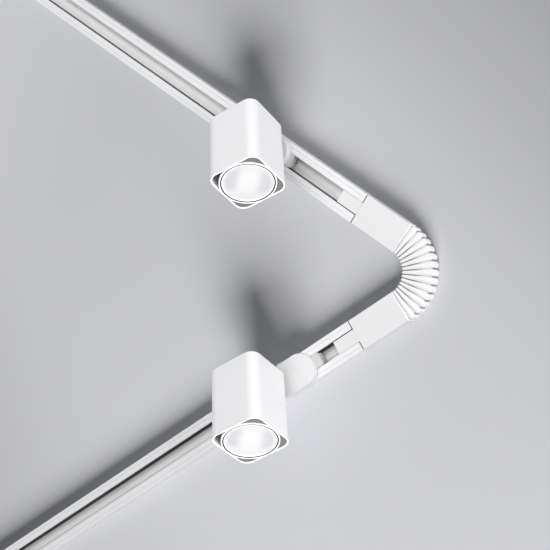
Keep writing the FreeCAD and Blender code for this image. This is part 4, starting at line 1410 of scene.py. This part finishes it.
# ---- Spotlight -----------------------------------------------------------------------
@dataclass
class Swivel:
    """Turning stem with its disc, nut and the arm down to the tilt pin."""

    spot: int
    place: Place
    pin_z: float = -43.0
    disc_r: float = 11.0
    disc_z: tuple[float, float] = (-28.4, -26.2)
    stem_r: float = 5.0
    stem_top: float = -19.4
    bore_r: float = 3.0
    arm_half: float = 5.0
    arm_r: float = 5.5
    pin_r: float = 2.05
    disc_floor: float = 1.0
    arm_steps: int = 24
    bore_segments: int = 40

    def build(self, shop: Workshop) -> None:
        """Makes the swivel's pieces.

        Args:
            shop: The workshop.
        """
        name = f"spot_{self.spot}"
        low, high = self.disc_z
        inside = low + self.disc_floor
        profile = rounded([(self.bore_r, self.stem_top, 0), (self.bore_r, inside, 0), (AXIS_R, inside, 0),
                           (AXIS_R, low, 0), (self.disc_r, low, 0.7), (self.disc_r, high, 0.3),
                           (self.stem_r, high, 0.2), (self.stem_r, self.stem_top, 0.4)])
        shop.piece(name + "_swivel_stem", Shape().lathe(profile), self.place, name + "_pan_stem")
        shop.dressed(name + "_pan_nut", Edges(0.3))
        section = [(self.arm_r, low)]
        for step in range(self.arm_steps + 1):
            turn = math.radians(-180 * step / self.arm_steps)
            section.append((self.arm_r * math.cos(turn), self.pin_z + self.arm_r * math.sin(turn)))
        section.append((-self.arm_r, low))
        arm = Shape().bar(section, (-self.arm_half, self.arm_half))
        bore = Shape()
        turns = [math.tau * k / self.bore_segments for k in range(self.bore_segments)]
        ring = [(self.pin_r * math.cos(turn), self.pin_z + self.pin_r * math.sin(turn)) for turn in turns]
        bore.bar(ring, (-self.arm_half - 1, self.arm_half + 1))
        shop.piece(name + "_arm", arm, self.place, name + "_tilt_arm", edges=Edges(0.7, 4), cuts=[bore])


@dataclass
class Spotlight:
    """Square head: tube, rear plate with its screws, bezel, lens ring and lit lens."""

    spot: int
    place: Place
    width: float = 61.5
    front: float = -77.7
    rear: float = 9.3
    axis_y: float = 22.0
    corner_r: float = 11.5
    wall: float = 1.8
    rear_edge_r: float = 1.0
    front_edge_r: float = 0.25
    seat_r: float = 30.2
    seat_z: float = -73.85
    bezel: tuple[float, float] = (28.7, 30.15)
    bezel_proud: float = 0.4
    bezel_floor: float = 1.2
    seat_inner_r: float = 23.6
    ring: tuple[float, float] = (26.2, 27.4)
    # Depth of the black ring of painted shade in the groove round the lens.
    ring_front: float = -77.6
    lens_edge: float = 1.3
    lens_dome: float = 1.0
    shade_fill: float = 2.65
    # A grey plate of painted shade behind the corner gaps, left out at one corner.
    rim_chamfer: float = 0.7
    gap_shade_z: tuple[float, float] = (-77.15, -75.0)
    gap_shade_reach: float = 0.12
    unshaded_corner: float = 12.0
    screw_pitch: float = 40.0
    screw_y: float = 2.0
    recess: float = 1.5
    arm_slot: tuple[float, float, float] = (5.8, 6.3, -6.3)
    detail: int = 16
    rear_chamfer: float = 0.3
    rear_steps: int = 6
    front_steps: int = 3
    seat_slip: float = 0.05
    shade_fill_slip: float = 0.02
    round_segments: int = 144
    lens_rows: int = 40
    ripple: tuple[float, float, float] = (0.05, 62.0, 0.45)
    lobe_turn: float = 46.0
    screw_head: tuple[float, float] = (2.7, 1.5)
    screw_shaft: tuple[float, float] = (1.5, 7.0)
    screw_cross: tuple[float, float, float] = (1.6, 0.3, 0.7)

    def polar(self, half: float, radius: float, at_least: float = 0.0) -> list[Point2]:
        """Rounded square as points at even corner angles, pushed out to a circle where that is larger.

        Args:
            half: Half of the square's width.
            radius: Corner radius.
            at_least: Radius of the circle.
        Returns:
            Points in order, the same count for any sizes.
        """
        points = []
        count = self.detail * 16
        flat = half - radius
        for index in range(count):
            turn = math.tau * (index + 0.5) / count
            c, s = math.cos(turn), math.sin(turn)
            big, small = max(abs(c), abs(s)), min(abs(c), abs(s))
            reach = half / big
            if reach * small > flat:
                middle = flat * (big + small)
                reach = middle + math.sqrt(max(middle ** 2 - 2 * flat ** 2 + radius ** 2, 0))
            reach = max(reach, at_least)
            points.append((reach * c, self.axis_y + reach * s))
        return points

    def tube(self) -> Shape:
        """Tube with a rounded rear edge, recessed at the front for the bezel.

        Returns:
            The shape.
        """
        half = self.width / 2
        inner_half, inner_r = half - self.wall, self.corner_r - self.wall
        chamfer = self.rear_chamfer

        def outer(inset: float, z: float) -> list[tuple[float, float, float]]:
            """Outline of the outside at a height, drawn in by an inset."""
            return [(x, y, z) for x, y in self.polar(half - inset, self.corner_r - inset)]

        def inner(z: float, at_least: float = 0.0) -> list[tuple[float, float, float]]:
            """Outline of the inside at a height, pushed out to a circle."""
            return [(x, y, z) for x, y in self.polar(inner_half, inner_r, at_least)]

        rings = []
        for step in range(self.rear_steps + 1):
            turn = math.radians(90 * step / self.rear_steps)
            rings.append(outer(self.rear_edge_r * (1 - math.sin(turn)),
                               self.rear - self.rear_edge_r * (1 - math.cos(turn))))
        for step in range(self.front_steps + 1):
            turn = math.radians(90 * step / self.front_steps)
            rings.append(outer(self.front_edge_r * (1 - math.cos(turn)),
                               self.front + self.front_edge_r * (1 - math.sin(turn))))
        thin = self.rim_chamfer
        rim = [(x, y, self.front) for x, y in self.polar(inner_half + thin, inner_r + thin, self.seat_r)]
        mouth = [(x, y, self.rear) for x, y in self.polar(inner_half + chamfer, inner_r + chamfer)]
        rings += [rim, inner(self.front + thin, self.seat_r), inner(self.seat_z, self.seat_r),
                  inner(self.seat_z), inner(self.rear - chamfer), mouth]
        return Shape().loft(rings, looped=True)

    def build(self, shop: Workshop) -> None:
        """Makes the head's pieces.

        Args:
            shop: The workshop.
        """
        name = f"spot_{self.spot}"
        half, low_y, low_z = self.arm_slot
        slot = Shape().block((-half, half), (-40, low_y), (low_z, 30))
        shop.piece(name + "_case", self.tube(), self.place, name + "_tube", cuts=[slot])
        self.optics(shop, name)
        shop.dressed(name + "_rear_plate", Edges(0.25, 2, 50))
        self.rear_screws(shop, name)
        for inside in ("tilt_pin", "driver", "heat_sink", "led_board", "led_chip", "reflector"):
            shop.dressed(f"{name}_{inside}")

    def optics(self, shop: Workshop, name: str) -> None:
        """Bezel, lens ring, a black ring of painted shade in the groove, a grey plate of painted shade behind
        three of the four corner gaps, and lens.

        Args:
            shop: The workshop.
            name: The spotlight's name.
        """
        front = self.front - self.bezel_proud
        seat = self.seat_z - self.seat_slip
        floor = seat - self.bezel_floor
        inner, outer = self.bezel
        around = self.round_segments
        profile = rounded([(inner, front, 0.25), (outer, front, 0.3), (outer, seat, 0.1),
                           (self.seat_inner_r, seat, 0), (self.seat_inner_r, floor, 0.1),
                           (inner, floor, 0)], 5)
        bezel = Shape().lathe(profile, self.axis_y, around)
        shop.piece(name + "_bezel_ring", bezel, self.place, name + "_bezel")
        low, high = self.ring
        profile = rounded([(low, floor, 0), (low, self.ring_front, 0.3), (high, self.ring_front, 0.2),
                           (high, floor, 0)], 4)
        collar = Shape().lathe(profile, self.axis_y, around)
        shop.piece(name + "_lens_collar", collar, self.place, name + "_lens_ring")
        # Painted shade: a black ring at the bottom of the groove between the lens ring and the bezel.
        near, far, deep = high + self.shade_fill_slip, inner - self.shade_fill_slip, floor - self.shade_fill
        dark = rounded([(near, floor, 0), (near, deep, 0), (far, deep, 0), (far, floor, 0)])
        shop.piece(name + "_groove_gasket", Shape().lathe(dark, self.axis_y, around), self.place,
                   name + "_lens_ring", "terminal_black", finish="shade_fill")
        # Painted shade: a dark grey plate behind three corner gaps; the fourth corner stays open.
        low, high = self.gap_shade_z
        through = (low - 1, high + 1)
        grown = self.gap_shade_reach - self.wall
        outline = self.polar(self.width / 2 + grown, self.corner_r + grown)
        plate = Shape().bar(outline, self.gap_shade_z, Axis.UPRIGHT)
        hole = Shape().disc(self.seat_r + self.shade_fill_slip, through, 0, self.axis_y, 96)
        near, far = self.unshaded_corner, self.width
        unshaded_gap = Shape().block((near, far), (self.axis_y + near, self.axis_y + far), through)
        shop.piece(name + "_gap_fillers", plate, self.place, name + "_bezel", "driver_grey",
                   cuts=[hole, unshaded_gap], finish="gap_shade_grey")
        self.lens(shop, name, floor)

    def lens(self, shop: Workshop, name: str, floor: float) -> None:
        """Domed lens with shallow rings near its rim.

        Args:
            shop: The workshop.
            name: The spotlight's name.
            floor: Height of the lens's back.
        """
        radius = self.ring[0]
        height, rate, start = self.ripple
        profile: list[Point2] = [(AXIS_R, floor)]
        for row in range(self.lens_rows + 1):
            share = row / self.lens_rows
            ripple = height * math.sin(share * rate) * max(0.0, share - start)
            drop = self.lens_dome * (1 - share ** 2) + ripple
            profile.append((max(radius * share, AXIS_R), floor - self.lens_edge - drop))
        profile.append((radius, floor))
        shape = Shape().lathe(profile, self.axis_y, 96)
        lens = shop.piece(name + "_front_lens", shape, self.place, name + "_lens", "bezel_white")
        across, upward = self.lens_axes()
        # The lens's finish is a painted glow with painted shade in its lobes and towards its rim.
        finish = LitLens("frosted_lens", (0.20, 0.20, 0.205), roughness=0.3, grain_cell=0.5,
                         centre=self.place.point(0, self.axis_y, floor), radius=radius,
                         across=across, upward=upward)
        lens.data.materials.clear()
        lens.data.materials.append(finish.material())

    def lens_axes(self) -> tuple[Vector, Vector]:
        """Directions of the lens pattern.

        Returns:
            The direction across the lens, and the one up the lens at right angles to it.
        """
        turn = math.radians(self.lobe_turn)
        across = self.place.direction(math.cos(turn), math.sin(turn), 0)
        return across, self.place.direction(-math.sin(turn), math.cos(turn), 0)

    def rear_screws(self, shop: Workshop, name: str) -> None:
        """Four pan-head screws with cross recesses, by Geometry Nodes.

        Args:
            shop: The workshop.
            name: The spotlight's name.
        """
        top = self.rear - self.recess
        head_r, head = self.screw_head
        shaft_r, shaft = self.screw_shaft
        profile = rounded([(AXIS_R, top + head, 0), (AXIS_R, top - shaft, 0), (shaft_r, top - shaft, 0.3),
                           (shaft_r, top, 0), (head_r, top, 0.1), (head_r, top + head, 0.9)], 5)
        reach, half, bottom = self.screw_cross
        deep = (top + bottom, top + 2.5)
        cross = [Shape().block((-reach, reach), (-half, half), deep),
                 Shape().block((-half, half), (-reach, reach), deep)]
        template = screw_template(shop, "cross_screw", Shape().lathe(profile, segments=40), cross)
        start = Vector((-self.screw_pitch / 2, self.screw_y, 0))
        steps = (Vector((self.screw_pitch, 0, 0)), Vector((0, self.screw_pitch, 0)))
        copies(shop, name + "_plate_screws", template, self.place, start, steps, (2, 2),
               name + "_rear_screws")


# ---- Rail ends -----------------------------------------------------------------------
@dataclass
class RailEnds:
    """Live end of rail 1 and closing cap of rail 2."""

    edges: Edges = field(default_factory=lambda: Edges(0.3, 2, 50))

    def build(self, shop: Workshop) -> None:
        """Dresses the end pieces."""
        for node in ("live_end_housing", "live_end_terminals", "end_cap"):
            shop.dressed(node, self.edges)


# ---- Studio --------------------------------------------------------------------------
class Lit(Enum):
    """What a light falls on."""

    CEILING = "ceiling"
    FIXTURE = "fixture"
    HEADS = "heads"
    ALL = "all"


@dataclass(frozen=True)
class Softbox:
    """A square soft light that points at the fixture."""

    name: str
    direction: Direction
    distance: float
    size: float
    power: float
    falls_on: Lit = Lit.ALL
    colour: Colour = (1.0, 1.0, 1.0)

    def place(self, target: Vector, stage: Sequence[bpy.types.Object],
              heads: Sequence[bpy.types.Object]) -> bpy.types.Object:
        """Sets the light up.

        Args:
            target: What it points at.
            stage: The ceiling and floor.
            heads: The pieces of both heads.
        Returns:
            The light.
        """
        data = bpy.data.lights.new(self.name, "AREA")
        data.shape, data.size = "SQUARE", self.size
        data.energy, data.color = self.power, self.colour
        light = bpy.data.objects.new(self.name, data)
        towards = Vector(self.direction).normalized()
        light.location = target + towards * self.distance
        light.rotation_euler = towards.to_track_quat("Z", "Y").to_euler()
        light.visible_camera = False
        bpy.context.scene.collection.objects.link(light)
        if self.falls_on is not Lit.ALL:
            receivers = bpy.data.collections.new(self.name + "_receivers")
            for piece in heads if self.falls_on is Lit.HEADS else stage:
                receivers.objects.link(piece)
            if self.falls_on is Lit.FIXTURE:
                for member in receivers.collection_objects:
                    member.light_linking.link_state = "EXCLUDE"
            light.light_linking.receiver_collection = receivers
        return light


@dataclass(frozen=True)
class Fade:
    """Painted light and shade on the ceiling: a slow change of its tone along a direction, between two
    distances in metres.
    """

    direction: Direction
    start: float
    end: float
    change: float


@dataclass
class Studio:
    """Plain ceiling and floor, soft lights and the camera below the fixture, looking up."""

    eye: Vector = field(default_factory=lambda: Vector((-0.7661, 0.1602, -1.0731)))
    target: Vector = field(default_factory=lambda: Vector((-0.2681, -0.1172, 0.0)))
    image_up: Vector = field(default_factory=lambda: Vector((0.5525, 0.8325, -0.0412)))
    lens: float = 71.35
    ceiling_gap: float = 0.0004
    ceiling_size: float = 20.0
    ceiling_colour: Colour = (0.585, 0.587, 0.610)
    # Painted light and shade: the ceiling's tone falls along +Y and −Y and rises along +X.
    fades: tuple[Fade, ...] = (
        Fade((-0.4, 1.0, 0.0), 0.12, 0.62, -0.42),
        Fade((0.3, -1.0, 0.0), 0.28, 0.62, -0.18),
        Fade((1.0, 0.0, 0.0), 0.0, 0.35, 0.20),
    )
    floor_z: float = -3.6
    floor_size: float = 400.0
    floor_glow: float = 0.45
    floor_colour: Colour = (0.80, 0.80, 0.80)
    ambient: float = 0.21
    ambient_colour: Colour = (0.93, 0.95, 1.0)
    lights: tuple[Softbox, ...] = (
        Softbox("key", (-0.66, -0.54, -0.53), 6.0, 3.5, 572.0, Lit.CEILING),
        Softbox("accent", (-0.66, -0.54, -0.53), 4.0, 1.6, 108.0, Lit.HEADS),
        Softbox("front", (0.12, 0.25, -0.96), 2.4, 2.2, 48.5, Lit.FIXTURE),
        Softbox("side", (-0.75, 0.55, -0.35), 2.4, 1.5, 35.5, Lit.FIXTURE),
        Softbox("fill", (-0.8, -0.55, -0.1), 2.4, 1.5, 13.0, Lit.FIXTURE),
        Softbox("overhead", (0.1, 0.1, 1.0), 2.4, 2.2, 22.0),
    )

    def camera(self) -> None:
        """Creates the camera."""
        data = bpy.data.cameras.new("camera")
        data.lens, data.sensor_width = self.lens, 36.0
        data.clip_start, data.clip_end = 0.05, 500.0
        back = (self.eye - self.target).normalized()
        right = self.image_up.cross(back).normalized()
        up = back.cross(right)
        camera = bpy.data.objects.new("camera", data)
        turn = Matrix((right, up, back)).transposed().to_4x4()
        camera.matrix_world = Matrix.Translation(self.eye) @ turn
        bpy.context.scene.collection.objects.link(camera)
        bpy.context.scene.camera = camera

    @staticmethod
    def plane(name: str, z: float, size: float, material: bpy.types.Material,
              facing_up: bool) -> bpy.types.Object:
        """A level square, part of the stage.

        Args:
            name: The square's name.
            z: Its height in metres.
            size: Length of its sides in metres.
            material: Its material.
            facing_up: Its front is on top, else below.
        Returns:
            The square.
        """
        half = size / 2
        corners = [(-half, -half, z), (half, -half, z), (half, half, z), (-half, half, z)]
        order = (0, 1, 2, 3) if facing_up else (3, 2, 1, 0)
        mesh = bpy.data.meshes.new(name)
        mesh.from_pydata(corners, [], [order])
        mesh.materials.append(material)
        made = bpy.data.objects.new(name, mesh)
        bpy.context.scene.collection.objects.link(made)
        return made

    def ceiling(self) -> bpy.types.Object:
        """Painted ceiling that only shows from below, so that the fixture's back can be looked at.

        Returns:
            The ceiling.
        """
        material = bpy.data.materials.new("ceiling")
        material.use_nodes = True
        graph = Graph(material.node_tree)
        shader = material.node_tree.nodes["Principled BSDF"]
        where = graph.node("ShaderNodeTexCoord").out("Object")
        light = graph.noise(where, 400.0, 1.0) * 0.02 + 0.99
        # Painted light and shade: each fade darkens or lightens the ceiling's tone.
        for fade in self.fades:
            inputs = {0: where, 1: fade.direction}
            along = graph.node("ShaderNodeVectorMath", {"operation": "DOT_PRODUCT"}, inputs)
            light = light + along.out("Value").ramp(fade.start, fade.end) * fade.change
        inputs = {0: self.ceiling_colour, "Scale": light}
        tone = graph.node("ShaderNodeVectorMath", {"operation": "SCALE"}, inputs)
        graph.tree.links.new(tone.out(0).socket, shader.inputs["Base Color"])
        shader.inputs["Roughness"].default_value = 0.9
        shader.inputs["Specular IOR Level"].default_value = 0.1
        behind = graph.node("ShaderNodeNewGeometry").out("Backfacing")
        clear = graph.node("ShaderNodeBsdfTransparent").out(0)
        inputs = {0: behind, 1: Term(graph, shader.outputs[0]), 2: clear}
        both = graph.node("ShaderNodeMixShader", {}, inputs).out(0)
        graph.tree.links.new(both.socket, material.node_tree.nodes["Material Output"].inputs[0])
        made = self.plane("ceiling", self.ceiling_gap, self.ceiling_size, material, facing_up=False)
        made.visible_shadow = False
        return made

    def floor(self) -> bpy.types.Object:
        """Plain pale floor far below the fixture.

        Returns:
            The floor.
        """
        finish = Finish("floor", self.floor_colour, roughness=0.8, drift=0.02, drift_cell=900.0, specular=0.2)
        material = finish.material()
        shader = material.node_tree.nodes["Principled BSDF"]
        shader.inputs["Emission Color"].default_value = (*self.floor_colour, 1)
        shader.inputs["Emission Strength"].default_value = self.floor_glow
        made = self.plane("floor", self.floor_z, self.floor_size, material, facing_up=True)
        made.visible_diffuse = False
        made.visible_glossy = False
        made.visible_shadow = False
        return made

    def build(self, heads: Sequence[bpy.types.Object]) -> None:
        """Sets up stage, lights, surroundings and camera.

        Args:
            heads: The pieces of both heads.
        """
        self.camera()
        stage = (self.ceiling(), self.floor())
        for softbox in self.lights:
            softbox.place(self.target, stage, heads)
        world = bpy.data.worlds.new("surroundings")
        world.use_nodes = True
        world.node_tree.nodes["Background"].inputs["Color"].default_value = (*self.ambient_colour, 1)
        world.node_tree.nodes["Background"].inputs["Strength"].default_value = self.ambient
        bpy.context.scene.world = world
        bpy.context.scene.view_settings.view_transform = "Standard"
        LOG.info("studio with %d lights", len(self.lights))


# ---- Assembly ------------------------------------------------------------------------
@dataclass
class Fixture:
    """The whole fixture, placed by the frame's own boxes and joints."""

    shop: Workshop
    corner_to_rail: float = 122.0
    # Painted shade under the lips of each rail, wider on rail 2.
    shade_bands: dict[int, tuple[float, float, float]] = field(
        default_factory=lambda: {1: (8.1, 13.2, 1.2), 2: (7.2, 13.2, 1.2)})

    def heading(self, direction: Sequence[float]) -> float:
        """Angle of a level direction about Z, in degrees."""
        return math.degrees(math.atan2(direction[1], direction[0]))

    def build(self) -> None:
        """Builds every sub-assembly in order."""
        joints = self.shop.joints
        low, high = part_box("rail_1_profile")
        corner = Vector((low.x - self.corner_to_rail * MM, 0, 0))
        span = (self.corner_to_rail, (high.x - corner.x) / MM)
        headings = {1: 0.0, 2: self.heading(joints["spot_2_slide"]["axis"])}
        for number, heading in headings.items():
            TrackRail(number, Place.at(corner, heading), span, shade_band=self.shade_bands[number]).build(self.shop)
        FlexCorner(Place.at(corner), headings[2] + 180).build(self.shop)
        RailEnds().build(self.shop)
        for number, side in ((1, Side.AWAY), (2, Side.TO_CORNER)):
            self.spotlight(number, headings[number] + side.value)
        self.shop.paint_nodes()

    def spotlight(self, number: int, heading: float) -> None:
        """Builds one spotlight with its adapter.

        Args:
            number: The spotlight's number.
            heading: Which way the adapter's long end points, in degrees.
        """
        pan = self.shop.joints[f"spot_{number}_pan"]
        tilt = self.shop.joints[f"spot_{number}_tilt"]
        above = Vector((pan["pos_m"][0], pan["pos_m"][1], 0))
        pin = self.heading([-value for value in tilt["axis"]])
        Adapter(number, Place.at(above, heading)).build(self.shop)
        Swivel(number, Place.at(above, pin)).build(self.shop)
        Spotlight(number, Place.at(Vector(tilt["pos_m"]), pin, -tilt["range_deg"][0])).build(self.shop)


def main() -> None:
    """Loads the frame and builds the fixture and its studio."""
    logging.basicConfig(level=logging.INFO, format="%(message)s")
    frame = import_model()
    shop = Workshop(frame)
    Fixture(shop).build()
    Studio().build(shop.on_bodies("_head"))


if __name__ == "__main__":
    main()
